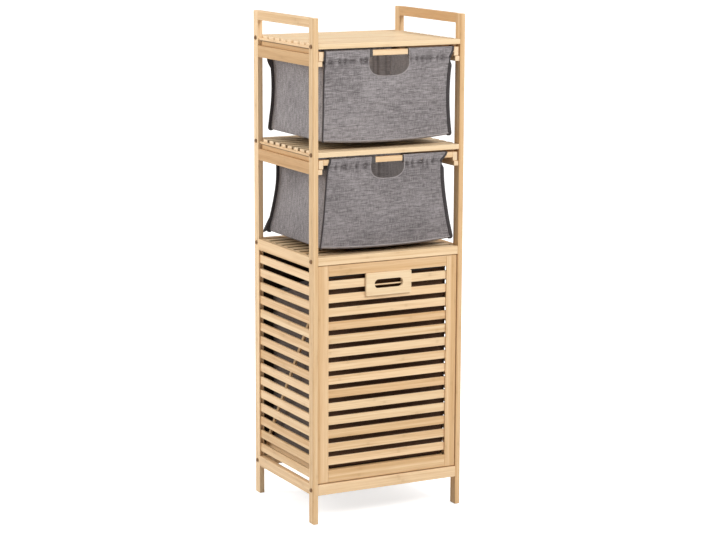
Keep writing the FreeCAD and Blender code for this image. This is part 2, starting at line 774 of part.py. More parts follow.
def check_document():
    """Stop if any object failed or any piece is empty or broken."""
    for item in DOC.Objects:
        if "Invalid" in item.State or "Error" in item.State:
            raise RuntimeError(f"{item.Label} failed: {item.State}")
    for item in NODES:
        if item.Shape.isNull() or not item.Shape.isValid() or not item.Shape.Solids:
            raise RuntimeError(f"{item.Label} has no valid solid")


def write_pieces():
    os.makedirs("parts", exist_ok=True)
    for item in NODES:
        item.Shape.exportStep(os.path.join("parts", f"{item.Label}.step"))
        print(f"{item.Label}: {len(item.Shape.Solids)} solids, {item.Shape.Volume:.0f} mm3")


bolt_holes = build_bolts()
build_posts(bolt_holes)
build_side_frames()
build_open_shelves(bolt_holes)
build_lower_shelf(bolt_holes)
build_bay(bolt_holes)
build_drawer("upper")
build_drawer("lower")
build_door()
build_carrier()
build_bag()
DOC.recompute()
check_document()
write_pieces()
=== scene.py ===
import logging
import math
from dataclasses import dataclass
from enum import Enum, StrEnum
from typing import ClassVar

import bmesh
import bpy
import numpy as np
from mathutils import Matrix, Vector


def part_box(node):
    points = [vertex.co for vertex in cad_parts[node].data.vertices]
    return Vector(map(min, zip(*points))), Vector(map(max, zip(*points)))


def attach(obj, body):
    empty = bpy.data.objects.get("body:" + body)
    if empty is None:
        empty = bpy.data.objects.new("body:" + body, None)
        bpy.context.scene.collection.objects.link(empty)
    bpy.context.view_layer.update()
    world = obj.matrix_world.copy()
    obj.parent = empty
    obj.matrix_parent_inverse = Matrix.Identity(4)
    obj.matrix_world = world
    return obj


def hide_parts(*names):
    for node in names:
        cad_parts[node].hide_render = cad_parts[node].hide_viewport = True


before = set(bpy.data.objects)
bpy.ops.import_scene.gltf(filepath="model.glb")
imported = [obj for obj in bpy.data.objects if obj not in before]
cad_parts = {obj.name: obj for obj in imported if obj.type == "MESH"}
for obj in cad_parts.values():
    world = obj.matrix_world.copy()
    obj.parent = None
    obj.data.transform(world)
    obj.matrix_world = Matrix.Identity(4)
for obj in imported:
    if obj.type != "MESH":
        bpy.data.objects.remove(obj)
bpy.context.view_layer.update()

# Looks of a bamboo laundry cabinet: grain on every stick, two hung fabric bins with sewn hems and bound
# seams, a dark laundry bag behind the slatted door, socket-headed bolts, and a pale studio round it.
# Metres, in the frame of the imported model: +X right, +Y back, +Z up, origin on the floor.

LOG = logging.getLogger("laundry_cabinet")
Array = np.ndarray
Colour = tuple[float, float, float]
WHITE = (1.0, 1.0, 1.0, 1.0)
TINY = 1e-12
FINE_WELD = 1e-7
# How a packed stick's edges are eased: by how much, which points weld, which faces count as flat and which
# edges as sharp.
STOCK_EASE = 0.0011
STOCK_WELD = 1e-6
FLAT_ANGLE = math.radians(0.5)
SHARP_ANGLE = math.radians(50.0)
EASE_SEGMENTS = 2
# Pitch of a row that holds one stick on the left and one on the right.
PAIR_PITCH = 0.4
# How far apart the seeds of two soft pieces are, so that each of their trims has its own.
SOFT_SEEDS = 10


class Side(StrEnum):
    """A side of the cabinet."""

    LEFT = "left"
    RIGHT = "right"

    @property
    def facing(self) -> float:
        """Which way the side faces along X."""
        return -1.0 if self is Side.LEFT else 1.0


class End(StrEnum):
    """An end of the cabinet."""

    FRONT = "front"
    REAR = "rear"

    @property
    def facing(self) -> float:
        """Which way the end faces along Y."""
        return -1.0 if self is End.FRONT else 1.0


# Curves and surfaces


def smooth_curve(knots: tuple, values: tuple, at: Array) -> Array:
    """A smooth curve through given points: cubic pieces whose slopes come from the neighbouring points.

    Args:
        knots: Rising places of the points.
        values: Heights of the curve at these places.
        at: Places to read.

    Returns:
        The heights, in the shape of at.
    """
    k, v = np.asarray(knots, float), np.asarray(values, float)
    slope = np.gradient(v, k)
    i = np.clip(np.searchsorted(k, at, side="right") - 1, 0, len(k) - 2)
    step = k[i + 1] - k[i]
    t = np.clip((at - k[i]) / step, 0.0, 1.0)
    t2, t3 = t * t, t * t * t
    start = (2 * t3 - 3 * t2 + 1) * v[i] + (t3 - 2 * t2 + t) * step * slope[i]
    return start + (3 * t2 - 2 * t3) * v[i + 1] + (t3 - t2) * step * slope[i + 1]


def round_path(points: Array, rounds: int = 3, cut: float = 0.25) -> Array:
    """Cut a path's corners: each round swaps an inner corner for points a little way along its two sides.

    Args:
        points: Corners, one row each.
        rounds: How often the corners are cut.
        cut: Share of a side that a cut takes.

    Returns:
        The rounded path, with the same ends.
    """
    path = np.asarray(points, float)
    for _ in range(rounds):
        near = (1 - cut) * path[:-1] + cut * path[1:]
        far = cut * path[:-1] + (1 - cut) * path[1:]
        middle = np.stack([near, far], 1).reshape(-1, path.shape[1])
        path = np.concatenate([path[:1], middle, path[-1:]])
    return path


def path_length(points: Array) -> Array:
    """Length run through at each point of a path."""
    return np.concatenate([[0.0], np.cumsum(np.linalg.norm(np.diff(points, axis=0), axis=1))])


def even_path(points: Array, count: int) -> Array:
    """Points evenly spaced by length along a path.

    Args:
        points: The path, one point per row.
        count: How many points are wanted.

    Returns:
        The points, with the path's own ends.
    """
    length = path_length(points)
    at = np.linspace(0.0, length[-1], count)
    return np.stack([np.interp(at, length, points[:, axis]) for axis in range(points.shape[1])], 1)


def rounded_box(half_a: float, half_b: float, corner: float, count: int) -> Array:
    """A rounded rectangle: a circle whose four quarters are moved out to the corners.

    Args:
        half_a: Half its first side.
        half_b: Half its second side.
        corner: Radius of its corners.
        count: Points in each corner.

    Returns:
        Points along both sides, once round.
    """
    quarter = np.arange(4)[:, None]
    angle = (quarter + np.linspace(0.0, 1.0, count)) * math.pi / 2
    middle = (quarter + 0.5) * math.pi / 2
    a = np.sign(np.cos(middle)) * (half_a - corner) + corner * np.cos(angle)
    b = np.sign(np.sin(middle)) * (half_b - corner) + corner * np.sin(angle)
    return np.stack([a.ravel(), b.ravel()], 1)


def repeated(vector: tuple[float, float, float], count: int) -> Array:
    """One vector in as many rows as asked."""
    return np.repeat(np.array([vector]), count, axis=0)


def edge_fade(share: Array, width: float) -> Array:
    """0 at both edges of a strip, 1 from the given width inwards."""
    return np.clip(np.minimum(share, 1 - share) / width, 0.0, 1.0)


def blend(low: Array, high: Array, share: Array) -> Array:
    """The mix of two arrays: low at share 0, high at share 1."""
    return low + (high - low) * share


def unit(vectors: Array) -> Array:
    """Vectors of length one along the last axis."""
    return vectors / np.maximum(np.linalg.norm(vectors, axis=-1, keepdims=True), TINY)


@dataclass
class Patch:
    """A grid of points, with the place of each on the flat cloth or stock, and how much painted shade it
    carries.
    """

    points: Array
    flat: Array
    crease: Array | float = 0.0

    def quads(self, start: int) -> Array:
        """Corner numbers of the grid's cells.

        Args:
            start: Number of the grid's first point.

        Returns:
            Four numbers for each cell.
        """
        rows, cols = self.points.shape[:2]
        index = start + np.arange(rows * cols).reshape(rows, cols)
        corners = [index[:-1, :-1], index[:-1, 1:], index[1:, 1:], index[1:, :-1]]
        return np.stack(corners, -1).reshape(-1, 4)


def tube(path: Array, out: Array, reach: Array | float, half: float, sides: int = 12) -> Patch:
    """A closed rod: an ellipse with semi-axes reach and half carried along a path, with pointed ends.

    Args:
        path: Centre line, one point per row.
        out: Direction of the ellipse's first axis at each point.
        reach: Semi-axis along out, the same all along or one for each point.
        half: Semi-axis across out.
        sides: Points round the ellipse.

    Returns:
        The rod's surface.
    """
    along = unit(np.gradient(path, axis=0))
    out = unit(out - along * np.sum(out * along, axis=1, keepdims=True))
    across = np.cross(along, out)
    angle = np.linspace(0.0, 2 * math.pi, sides + 1)
    wide = np.broadcast_to(reach, len(path))[:, None, None]
    outwards = wide * np.cos(angle)[None, :, None] * out[:, None]
    sideways = half * np.sin(angle)[None, :, None] * across[:, None]
    body = path[:, None] + (outwards + sideways)
    ends = [np.repeat(path[at][None, None], sides + 1, axis=1) for at in (0, -1)]
    points = np.concatenate([ends[0], body, ends[1]])
    run = path_length(path)
    run = np.concatenate([run[:1], run, run[-1:]])
    flat = np.stack(np.meshgrid(angle * half, run), -1)
    return Patch(points, flat)


def copies(
    shape: Array, flat: Array, places: Array, first: Array, second: Array, third: Array
) -> list[Patch]:
    """One small grid set at many places: each point is the place plus the grid's own three coordinates
    along three directions.

    Args:
        shape: Grid of points in its own coordinates.
        flat: Flat places of the grid.
        places: Where each copy stands.
        first: Direction of the grid's first coordinate at each place.
        second: Direction of its second coordinate.
        third: Direction of its third coordinate.

    Returns:
        One patch for each place.
    """
    axes = np.stack([first, second, third], 1)
    points = places[:, None, None] + np.einsum("rcj,njk->nrck", shape, axes)
    return [Patch(grid, flat) for grid in points]


def new_piece(name: str, patches: list[Patch], weld: float = 1e-5) -> bpy.types.Object:
    """One object of several grids, welded where their edges meet, with its faces turned outwards.

    Args:
        name: Name of the piece.
        patches: Grids that make it up.
        weld: Distance under which points become one.

    Returns:
        The object, with its flat places in the UV map "cloth".
    """
    starts = np.cumsum([0] + [patch.points[..., 0].size for patch in patches[:-1]])
    spots = np.concatenate([patch.points.reshape(-1, 3) for patch in patches])
    flat = np.concatenate([patch.flat.reshape(-1, 2) for patch in patches])
    quads = np.concatenate([patch.quads(int(start)) for patch, start in zip(patches, starts)])
    mesh = bpy.data.meshes.new(name)
    mesh.vertices.add(len(spots))
    mesh.vertices.foreach_set("co", spots.astype(np.float32).ravel())
    mesh.loops.add(quads.size)
    mesh.loops.foreach_set("vertex_index", quads.astype(np.int32).ravel())
    mesh.polygons.add(len(quads))
    mesh.polygons.foreach_set("loop_start", np.arange(0, quads.size, 4, dtype=np.int32))
    mesh.update(calc_edges=True)
    layer = mesh.uv_layers.new(name="cloth")
    layer.data.foreach_set("uv", flat[quads.ravel()].astype(np.float32).ravel())
    # Painted shade of each point, kept as a point attribute for the cloth's material.
    painted_shades = [np.broadcast_to(patch.crease, patch.points.shape[:2]).ravel() for patch in patches]
    crease = np.concatenate(painted_shades).astype(np.float32)
    mesh.attributes.new("crease", "FLOAT", "POINT").data.foreach_set("value", crease)
    work = bmesh.new()
    work.from_mesh(mesh)
    bmesh.ops.remove_doubles(work, verts=work.verts, dist=weld)
    bmesh.ops.recalc_face_normals(work, faces=work.faces)
    work.to_mesh(mesh)
    work.free()
    mesh.polygons.foreach_set("use_smooth", np.ones(len(mesh.polygons), dtype=bool))
    piece = bpy.data.objects.new(name, mesh)
    bpy.context.scene.collection.objects.link(piece)
    return piece


def give_wall(piece: bpy.types.Object, wall: float, lining: int = 0) -> None:
    """Give a cloth surface its thickness, inwards.

    Args:
        piece: The cloth.
        wall: Its thickness.
        lining: How many slots on its inner face's material is.
    """
    solid = piece.modifiers.new("wall", "SOLIDIFY")
    solid.thickness = wall
    solid.offset = -1.0
    solid.use_even_offset = True
    solid.material_offset = lining


def ripple(at: Array, seed: int, waves: tuple[float, ...]) -> Array:
    """Uneven gathers: sines of several wavelengths, with phases drawn from the seed.

    Args:
        at: Places along the cloth.
        seed: What the phases are drawn from.
        waves: The wavelengths.

    Returns:
        The mean of the sines at each place.
    """
    phases = np.random.default_rng(seed).uniform(0.0, 2 * math.pi, len(waves))
    total = sum(np.sin(2 * math.pi * at / wave + phase) for wave, phase in zip(waves, phases))
    return total / len(waves)


# Shader helpers and shared effects


class Wiring:
    """Places and joins the nodes of one shader tree."""

    def __init__(self, tree: bpy.types.NodeTree) -> None:
        """Work on the given tree."""
        self.tree = tree

    def feed(self, socket: bpy.types.NodeSocket, value: object) -> None:
        """Join a socket to another, or set its own value.

        Args:
            socket: The socket to feed.
            value: Another socket, or a plain value, where a colour has three parts.
        """
        if isinstance(value, bpy.types.NodeSocket):
            self.tree.links.new(value, socket)
        elif isinstance(value, tuple) and socket.type == "RGBA":
            socket.default_value = (*value, 1.0)
        else:
            socket.default_value = value

    def put(self, kind: str, inputs: dict | None = None, **settings: object) -> bpy.types.Node:
        """A new node.

        Args:
            kind: Its type.
            inputs: What feeds its sockets, by name or number.
            settings: Its own settings, made first.

        Returns:
            The node.
        """
        made = self.tree.nodes.new(kind)
        for key, value in settings.items():
            setattr(made, key, value)
        for key, value in (inputs or {}).items():
            self.feed(made.inputs[key], value)
        return made

    def math(self, operation: str, *values: object) -> bpy.types.NodeSocket:
        """The result of one sum."""
        return self.put("ShaderNodeMath", dict(enumerate(values)), operation=operation).outputs[0]

    def times(self, value: object, factor: object) -> bpy.types.NodeSocket:
        """One value multiplied by another."""
        return self.math("MULTIPLY", value, factor)

    def less(self, value: object, other: object) -> bpy.types.NodeSocket:
        """One value less another."""
        return self.math("SUBTRACT", value, other)

    def random(self, value: object) -> bpy.types.NodeSocket:
        """A number from 0 to 1 drawn for a value."""
        return self.put("ShaderNodeTexWhiteNoise", {"W": value}, noise_dimensions="1D").outputs[0]

    def ramp(self, value: object, low: float, high: float, start: float, end: float) -> bpy.types.NodeSocket:
        """A smooth step from start to end as the value goes from low to high."""
        inputs = {0: value, 1: low, 2: high, 3: start, 4: end}
        return self.put("ShaderNodeMapRange", inputs, interpolation_type="SMOOTHSTEP").outputs[0]

    def mix(self, share: object, low: object, high: object, kind: str = "MIX") -> bpy.types.NodeSocket:
        """Two colours mixed."""
        inputs = {0: share, 6: low, 7: high}
        return self.put("ShaderNodeMix", inputs, data_type="RGBA", blend_type=kind).outputs[2]

    def noise(self, spot: object, detail: float, rough: float = 0.55) -> bpy.types.NodeSocket:
        """Soft noise at unit scale."""
        inputs = {"Vector": spot, "Scale": 1.0, "Detail": detail, "Roughness": rough}
        return self.put("ShaderNodeTexNoise", inputs, noise_dimensions="3D").outputs[0]

    def stretched(self, x: object, y: object, z: object) -> bpy.types.NodeSocket:
        """A vector of three values."""
        return self.put("ShaderNodeCombineXYZ", {0: x, 1: y, 2: z}).outputs[0]


def shader_group(name: str, inputs: dict[str, str], outputs: dict[str, str]) -> tuple[Wiring, dict, dict]:
    """An empty node group with named sockets.

    Args:
        name: Name of the group.
        inputs: Socket type of each input.
        outputs: Socket type of each output.

    Returns:
        The group's wiring, its inputs by name, and the sockets to feed its outputs by name.
    """
    tree = bpy.data.node_groups.new(name, "ShaderNodeTree")
    for label, kind in inputs.items():
        tree.interface.new_socket(name=label, in_out="INPUT", socket_type=f"NodeSocket{kind}")
    for label, kind in outputs.items():
        tree.interface.new_socket(name=label, in_out="OUTPUT", socket_type=f"NodeSocket{kind}")
    wiring = Wiring(tree)
    into, out = wiring.put("NodeGroupInput"), wiring.put("NodeGroupOutput")
    return wiring, {s.name: s for s in into.outputs}, {s.name: s for s in out.inputs}


class Effects:
    """The shader effects that several finishes share, each built once as a node group. Lengths are in metres,
    and noises have waves per metre: along and across a stick, or along weft and warp."""

    OUTPUTS: ClassVar[dict[str, str]] = {"Colour": "Color", "Roughness": "Float", "Height": "Float"}
    MIDDLE = 0.5
    STRIP = 0.0078
    LAYER = 0.0062
    STRIP_OFFSET = 5.0
    STICK_OFFSET = 1.7
    FIBRE = (9.0, 620.0)
    STREAK = (2.2, 130.0)
    PORES = 1500.0
    KNUCKLE_SPACING = 0.29
    KNUCKLE_OFFSET = 0.83
    KNUCKLE_LINE = (0.001, 0.007)
    KNUCKLE_HALO = (0.004, 0.036)
    KNUCKLE_SHARE = 0.13
    PLAIN_STRIPS = 0.3
    STICK_TONE = 0.55
    STRIP_TONE = 0.3
    STREAK_TONE = 0.9
    DEEPEST_TONE = 0.95
    BLUSH_OFFSET = 0.37
    BLUSH = (1.0, 0.95, 0.92)
    FIBRE_SHARE = (0.42, 0.72, 0.0, 0.3)
    PORE_SHARE = (0.4, 0.75, 0.0, 0.45)
    END_SHARE = 0.8
    END_GRAIN = (0.90, 0.72, 0.50)
    # Colour of the painted shade: the shadow line at a shelf's joint and the shade along its slats' long
    # edges.
    SHADED = (0.17, 0.09, 0.035)
    END_ROUGH = 0.4
    BAMBOO_ROUGH = (0.3, 1.1, 0.36, 0.62)
    LINE_HEIGHT = 0.5
    FIBRE_HEIGHT = 0.6
    THREAD = 0.0011
    LONG_SLUB = (54.0, 660.0)
    SHORT_SLUB = (600.0, 62.0)
    MOTTLE = (27.0, 200.0)
    # Waves of the drift: broad painted shade for the soft shading of slack cloth.
    DRIFT = (10.0, 9.0)
    SLUB_SHARES = (0.46, 0.29, 0.25)
    WEAVE_TONE = 0.05
    WEAVE_HEIGHT = 0.5
    CLOTH_ROUGH = (0.3, 0.7, 0.78, 0.95)
    FINE_RANGE = (0.3, 0.7)

    def __init__(self) -> None:
        """Build the groups."""
        self.bamboo = self.bamboo_grain()
        self.cloth = self.woven_cloth()
        self.fine = self.fine_grain()

    def drawn_out(self, w: Wiring, axes: tuple, shift: object, waves: tuple) -> bpy.types.NodeSocket:
        """A stick's place in noise that has the given waves along and across it, moved on by the shift."""
        along = w.math("ADD", w.times(axes[0], waves[0]), shift)
        return w.stretched(along, w.times(axes[1], waves[1]), w.times(axes[2], waves[1]))

    def bamboo_grain(self) -> bpy.types.NodeTree:
        """Laminated bamboo: glued strips of uneven tone, long fibres, a knuckle across each strip, and
        painted shade at joints and along edges.

        Returns:
            The group. Its vector runs along, across and through the stick.
        """
        numbers, colours = ("Pitch", "Start", "Seed", "End", "Tone", "Shade"), ("Light", "Deep", "Knuckle")
        kinds = {"Spot": "Vector"} | dict.fromkeys(numbers, "Float") | dict.fromkeys(colours, "Color")
        w, i, o = shader_group("bamboo_grain", kinds, self.OUTPUTS)
        along, across, through = axes = tuple(w.put("ShaderNodeSeparateXYZ", {0: i["Spot"]}).outputs)
        row = w.math("FLOOR", w.math("DIVIDE", w.less(across, i["Start"]), i["Pitch"]))
        stick = w.math("ADD", row, i["Seed"])
        stick_tone = w.random(stick)
        offset = w.times(stick_tone, self.STRIP_OFFSET)
        strip = w.math("FLOOR", w.math("ADD", w.math("DIVIDE", across, self.STRIP), offset))
        layer = w.math("FLOOR", w.math("DIVIDE", through, self.LAYER))
        cell = {"Vector": w.stretched(strip, layer, stick)}
        strip_tone = w.put("ShaderNodeTexWhiteNoise", cell, noise_dimensions="3D").outputs[0]
        shift = w.times(stick, self.STICK_OFFSET)
        fibre = w.noise(self.drawn_out(w, axes, shift, self.FIBRE), detail=3.0, rough=0.6)
        streak = w.noise(self.drawn_out(w, axes, shift, self.STREAK), detail=2.0)
        turn = w.math("ADD", along, w.times(strip_tone, self.KNUCKLE_OFFSET))
        part = w.math("FRACT", w.math("DIVIDE", turn, self.KNUCKLE_SPACING))
        gap = w.times(w.math("ABSOLUTE", w.less(part, self.MIDDLE)), self.KNUCKLE_SPACING)
        line = w.ramp(gap, *self.KNUCKLE_LINE, 1.0, 0.0)
        halo = w.ramp(gap, *self.KNUCKLE_HALO, 1.0, 0.0)
        tone = w.math("MULTIPLY_ADD", stick_tone, self.STICK_TONE, w.times(strip_tone, self.STRIP_TONE))
        tone = w.math("ADD", tone, w.times(w.less(streak, self.MIDDLE), self.STREAK_TONE))
        tone = w.math("ADD", tone, i["Tone"])
        base = w.mix(w.ramp(tone, 0.0, self.DEEPEST_TONE, 0.0, 1.0), i["Light"], i["Deep"])
        base = w.mix(w.random(w.math("ADD", stick, self.BLUSH_OFFSET)), base, self.BLUSH, "MULTIPLY")
        fibred = w.mix(w.ramp(fibre, *self.FIBRE_SHARE), base, i["Deep"], "MULTIPLY")
        knuckle = w.math("MULTIPLY_ADD", line, self.KNUCKLE_SHARE, w.times(halo, self.KNUCKLE_SHARE))
        knuckle = w.times(knuckle, w.math("GREATER_THAN", strip_tone, self.PLAIN_STRIPS))
        knuckled = w.mix(knuckle, fibred, i["Knuckle"])
        pore_spot = w.stretched(w.times(across, self.PORES), w.times(through, self.PORES), shift)
        pores = w.ramp(w.noise(pore_spot, detail=1.0), *self.PORE_SHARE)
        cut_end = w.mix(pores, self.END_GRAIN, i["Knuckle"])
        ended = w.mix(w.times(i["End"], self.END_SHARE), knuckled, cut_end)
        # Painted shade: the colour is darkened towards SHADED where the Shade input is high.
        w.feed(o["Colour"], w.mix(i["Shade"], ended, self.SHADED))
        rough = w.math("ADD", fibre, w.times(i["End"], self.END_ROUGH))
        w.feed(o["Roughness"], w.ramp(rough, *self.BAMBOO_ROUGH))
        w.feed(o["Height"], w.less(w.times(line, self.LINE_HEIGHT), w.times(fibre, self.FIBRE_HEIGHT)))
        return w.tree

    def woven_cloth(self) -> bpy.types.NodeTree:
        """Plain-woven heathered cloth: long uneven slubs along the weft, shorter ones along the warp, soft
        mottling, a broad drift of tone that is painted shade for slack cloth, the over-and-under of the
        threads, and painted shade in creases.

        Returns:
            The group. Its vector is the place on the flat cloth.
        """
        inputs = {"Spot": "Vector", "Seed": "Float", "Light": "Color", "Deep": "Color", "Contrast": "Float"}
        inputs |= {"Crease": "Float", "Sunk": "Color", "Drift": "Float"}
        w, i, o = shader_group("woven_cloth", inputs, self.OUTPUTS)
        weft, warp, _ = w.put("ShaderNodeSeparateXYZ", {0: i["Spot"]}).outputs
        noises = (self.LONG_SLUB, self.SHORT_SLUB, self.MOTTLE, self.DRIFT)
        spots = [w.stretched(w.times(weft, x), w.times(warp, y), i["Seed"]) for x, y in noises]
        long_slub = w.noise(spots[0], detail=3.0, rough=0.65)
        short_slub = w.noise(spots[1], detail=2.0, rough=0.6)
        mottle = w.noise(spots[2], detail=2.0)
        # The drift: broad soft patches of painted shade, standing in for the shading of slack cloth.
        drift = w.less(w.noise(spots[3], detail=0.0), self.MIDDLE)
        long_share, short_share, mottle_share = self.SLUB_SHARES
        slub = w.math("MULTIPLY_ADD", long_slub, long_share, w.times(short_slub, short_share))
        slub = w.math("ADD", slub, w.times(mottle, mottle_share))
        over, under = (w.math("SINE", w.times(axis, 2 * math.pi / self.THREAD)) for axis in (weft, warp))
        weave = w.times(over, under)
        tone = w.math("ADD", slub, w.times(weave, self.WEAVE_TONE))
        spread = w.times(w.less(tone, self.MIDDLE), i["Contrast"])
        spread = w.math("MULTIPLY_ADD", drift, i["Drift"], spread)
        heather = w.mix(w.ramp(spread, -self.MIDDLE, self.MIDDLE, 0.0, 1.0), i["Deep"], i["Light"])
        # Painted shade in creases: the colour is tinted where the attribute is high.
        w.feed(o["Colour"], w.mix(i["Crease"], heather, i["Sunk"], "MULTIPLY"))
        w.feed(o["Roughness"], w.ramp(slub, *self.CLOTH_ROUGH))
        w.feed(o["Height"], w.math("ADD", w.times(weave, self.WEAVE_HEIGHT), slub))
        return w.tree

    def fine_grain(self) -> bpy.types.NodeTree:
        """A faint even grain for plastic, board and metal.

        Returns:
            The group. Its vector is in metres times the wanted fineness.
        """
        inputs = {"Spot": "Vector", "Light": "Color", "Deep": "Color", "Low": "Float", "High": "Float"}
        w, i, o = shader_group("fine_grain", inputs, self.OUTPUTS)
        grain = w.noise(i["Spot"], detail=4.0, rough=0.6)
        w.feed(o["Colour"], w.mix(w.ramp(grain, *self.FINE_RANGE, 0.0, 1.0), i["Light"], i["Deep"]))
        low, high = self.FINE_RANGE
        rough = w.put("ShaderNodeMapRange", {0: grain, 1: low, 2: high, 3: i["Low"], 4: i["High"]})
        w.feed(o["Roughness"], rough.outputs[0])
        w.feed(o["Height"], grain)
        return w.tree


def empty_material(name: str) -> tuple[bpy.types.Material, Wiring, bpy.types.Node]:
    """A new material.

    Args:
        name: Its name.

    Returns:
        The material, its wiring and its Principled shader.
    """
    material = bpy.data.materials.new(name)
    material.use_nodes = True
    wiring = Wiring(material.node_tree)
    shader = next(n for n in material.node_tree.nodes if n.type == "BSDF_PRINCIPLED")
    return material, wiring, shader


def join_effect(
    w: Wiring, shader: bpy.types.Node, effect: bpy.types.Node, strength: float, deep: float
) -> None:
    """Feed an effect's colour, roughness and height to a shader.

    Args:
        w: The material's wiring.
        shader: Its Principled shader.
        effect: The placed node group.
        strength: Share of the relief that shows.
        deep: Depth of the relief in metres.
    """
    w.feed(shader.inputs["Base Color"], effect.outputs["Colour"])
    w.feed(shader.inputs["Roughness"], effect.outputs["Roughness"])
    inputs = {"Strength": strength, "Distance": deep, "Height": effect.outputs["Height"]}
    w.feed(shader.inputs["Normal"], w.put("ShaderNodeBump", inputs).outputs[0])


def set_sockets(shader: bpy.types.Node, values: dict[str, float]) -> None:
    """Set a shader's own sockets by name."""
    for socket, value in values.items():
        shader.inputs[socket].default_value = value


class Grain(Enum):
    """Which axes run along, across and through a stick."""

    X_ACROSS_Y = (0, 1, 2)
    X_ACROSS_Z = (0, 2, 1)
    Y_ACROSS_Z = (1, 2, 0)
    Y_ACROSS_X = (1, 0, 2)
    Z_ACROSS_Y = (2, 1, 0)
    Z_ACROSS_X = (2, 0, 1)


@dataclass(frozen=True)
class Stick:
    """A bamboo node: its grain, the pitch and start of its row where it holds several sticks, the height of a
    joint with a painted shadow line and a paler strip above it, and how much painted shade lies along its
    slats' long edges."""

    node: str
    grain: Grain
    pitch: float = 4.0
    start: float = -2.0
    lean: float = 0.0
    tone: float = 0.0
    joint: float = 0.0
    gap_shade: float = 0.0


@dataclass(frozen=True)
class BambooFinish:
    """Clear-lacquered laminated bamboo."""

    label: str
    light: Colour
    deep: Colour
    knuckle: Colour
    # Painted shade: the shadow line at a joint, and the shade along a shelf's slat edges.
    joint_half: float = 0.001
    joint_shade: float = 0.88
    strip_paler: float = 0.7
    slat_middle: float = 0.02175
    slat_half: float = 0.01175
    gap_shade_width: float = 0.0022
    end_facing: tuple[float, float] = (0.85, 0.95)
    relief_share: float = 0.35
    relief: float = 0.0004
    coat: float = 0.06
    coat_rough: float = 0.3
    specular: float = 0.35

    def marks(self, w: Wiring, axes: list, stick: Stick) -> dict:
        """Tone and painted shade of a node: a painted shadow line at its joint with a paler strip above, or
        painted shade along its slats' long edges, measured from the middle of each pitch.

        Args:
            w: The material's wiring.
            axes: Object coordinates.
            stick: The node's grain and marks.

        Returns:
            The effect's Tone and Shade.
        """
        tone, shade = stick.tone, 0.0
        # A painted shadow line at the joint, with a paler strip above it.
        if stick.joint > 0.0:
            half = self.joint_half
            tone = w.ramp(axes[2], stick.joint - half, stick.joint + half, tone, tone - self.strip_paler)
            gap = w.math("ABSOLUTE", w.less(axes[2], stick.joint))
            shade = w.ramp(gap, half, 2 * half, self.joint_shade, 0.0)
        # Painted shade along the slats' long edges, for the shade in the gaps between them.
        if stick.gap_shade > 0.0:
            across = w.less(axes[stick.grain.value[1]], stick.start)
            part = w.times(w.math("FRACT", w.math("DIVIDE", across, stick.pitch)), stick.pitch)
            off = w.math("ABSOLUTE", w.less(part, self.slat_middle))
            shade = w.ramp(off, self.slat_half - self.gap_shade_width, self.slat_half, 0.0, stick.gap_shade)
        return {"Tone": tone, "Shade": shade}

    def material(self, effects: Effects, stick: Stick, seed: float) -> bpy.types.Material:
        """The finish of one node, with the grain along its sticks.

        Args:
            effects: The shared effects.
            stick: The node's grain.
            seed: Number that sets its tones apart.

        Returns:
            The material.
        """
        material, w, shader = empty_material(f"{self.label}_{stick.node}")
        place = w.put("ShaderNodeTexCoord")
        leaning = {"Vector": place.outputs["Object"], "Rotation": (stick.lean, 0.0, 0.0)}
        turned = w.put("ShaderNodeMapping", leaning)
        axes = w.put("ShaderNodeSeparateXYZ", {0: turned.outputs[0]}).outputs
        spot = w.stretched(*(axes[axis] for axis in stick.grain.value))
        facing = w.put("ShaderNodeSeparateXYZ", {0: place.outputs["Normal"]}).outputs
        end = w.ramp(w.math("ABSOLUTE", facing[stick.grain.value[0]]), *self.end_facing, 0.0, 1.0)
        inputs = {"Spot": spot, "Pitch": stick.pitch, "Start": stick.start, "Seed": seed, "End": end}
        inputs |= {"Light": self.light, "Deep": self.deep, "Knuckle": self.knuckle}
        inputs |= self.marks(w, axes, stick)
        grain = w.put("ShaderNodeGroup", inputs, node_tree=effects.bamboo)
        join_effect(w, shader, grain, self.relief_share, self.relief)
        coat = {"Coat Weight": self.coat, "Coat Roughness": self.coat_rough}
        set_sockets(shader, coat | {"Specular IOR Level": self.specular})
        return material


@dataclass(frozen=True)
class ClothFinish:
    """Heathered woven cloth. Its painted glow is painted light, an emission in the cloth's own colour; its
    shade paint colours the painted shade in its creases; and drift is a broad uneven tone, painted shade
    for the soft shading of slack cloth."""

    label: str
    light: Colour
    deep: Colour
    contrast: float
    sheen: float
    glow: float = 0.0
    sunk: Colour = (0.30, 0.28, 0.28)
    drift: float = 0.0
    relief_share: float = 0.5
    relief: float = 0.0005
    sheen_rough: float = 0.5
    specular: float = 0.2

    def material(self, effects: Effects, seed: float) -> bpy.types.Material:
        """The finish, read from the piece's flat places.

        Args:
            effects: The shared effects.
            seed: Number that sets its slubs apart.

        Returns:
            The material.
        """
        material, w, shader = empty_material(f"{self.label}_{int(seed)}")
        spot = w.put("ShaderNodeUVMap", uv_map="cloth").outputs[0]
        inputs = {"Spot": spot, "Seed": seed, "Light": self.light, "Deep": self.deep}
        inputs |= {"Contrast": self.contrast, "Sunk": self.sunk, "Drift": self.drift}
        # The painted shade is read from the piece's point attribute.
        inputs["Crease"] = w.put("ShaderNodeAttribute", attribute_name="crease").outputs["Fac"]
        cloth = w.put("ShaderNodeGroup", inputs, node_tree=effects.cloth)
        join_effect(w, shader, cloth, self.relief_share, self.relief)
        set_sockets(shader, {"Sheen Weight": self.sheen, "Sheen Roughness": self.sheen_rough})
        # Painted light: the cloth glows in its own colour, though it is no lamp.
        if self.glow > 0.0:
            w.feed(shader.inputs["Emission Color"], cloth.outputs["Colour"])
            set_sockets(shader, {"Emission Strength": self.glow})
        set_sockets(shader, {"Specular IOR Level": self.specular})
        return material


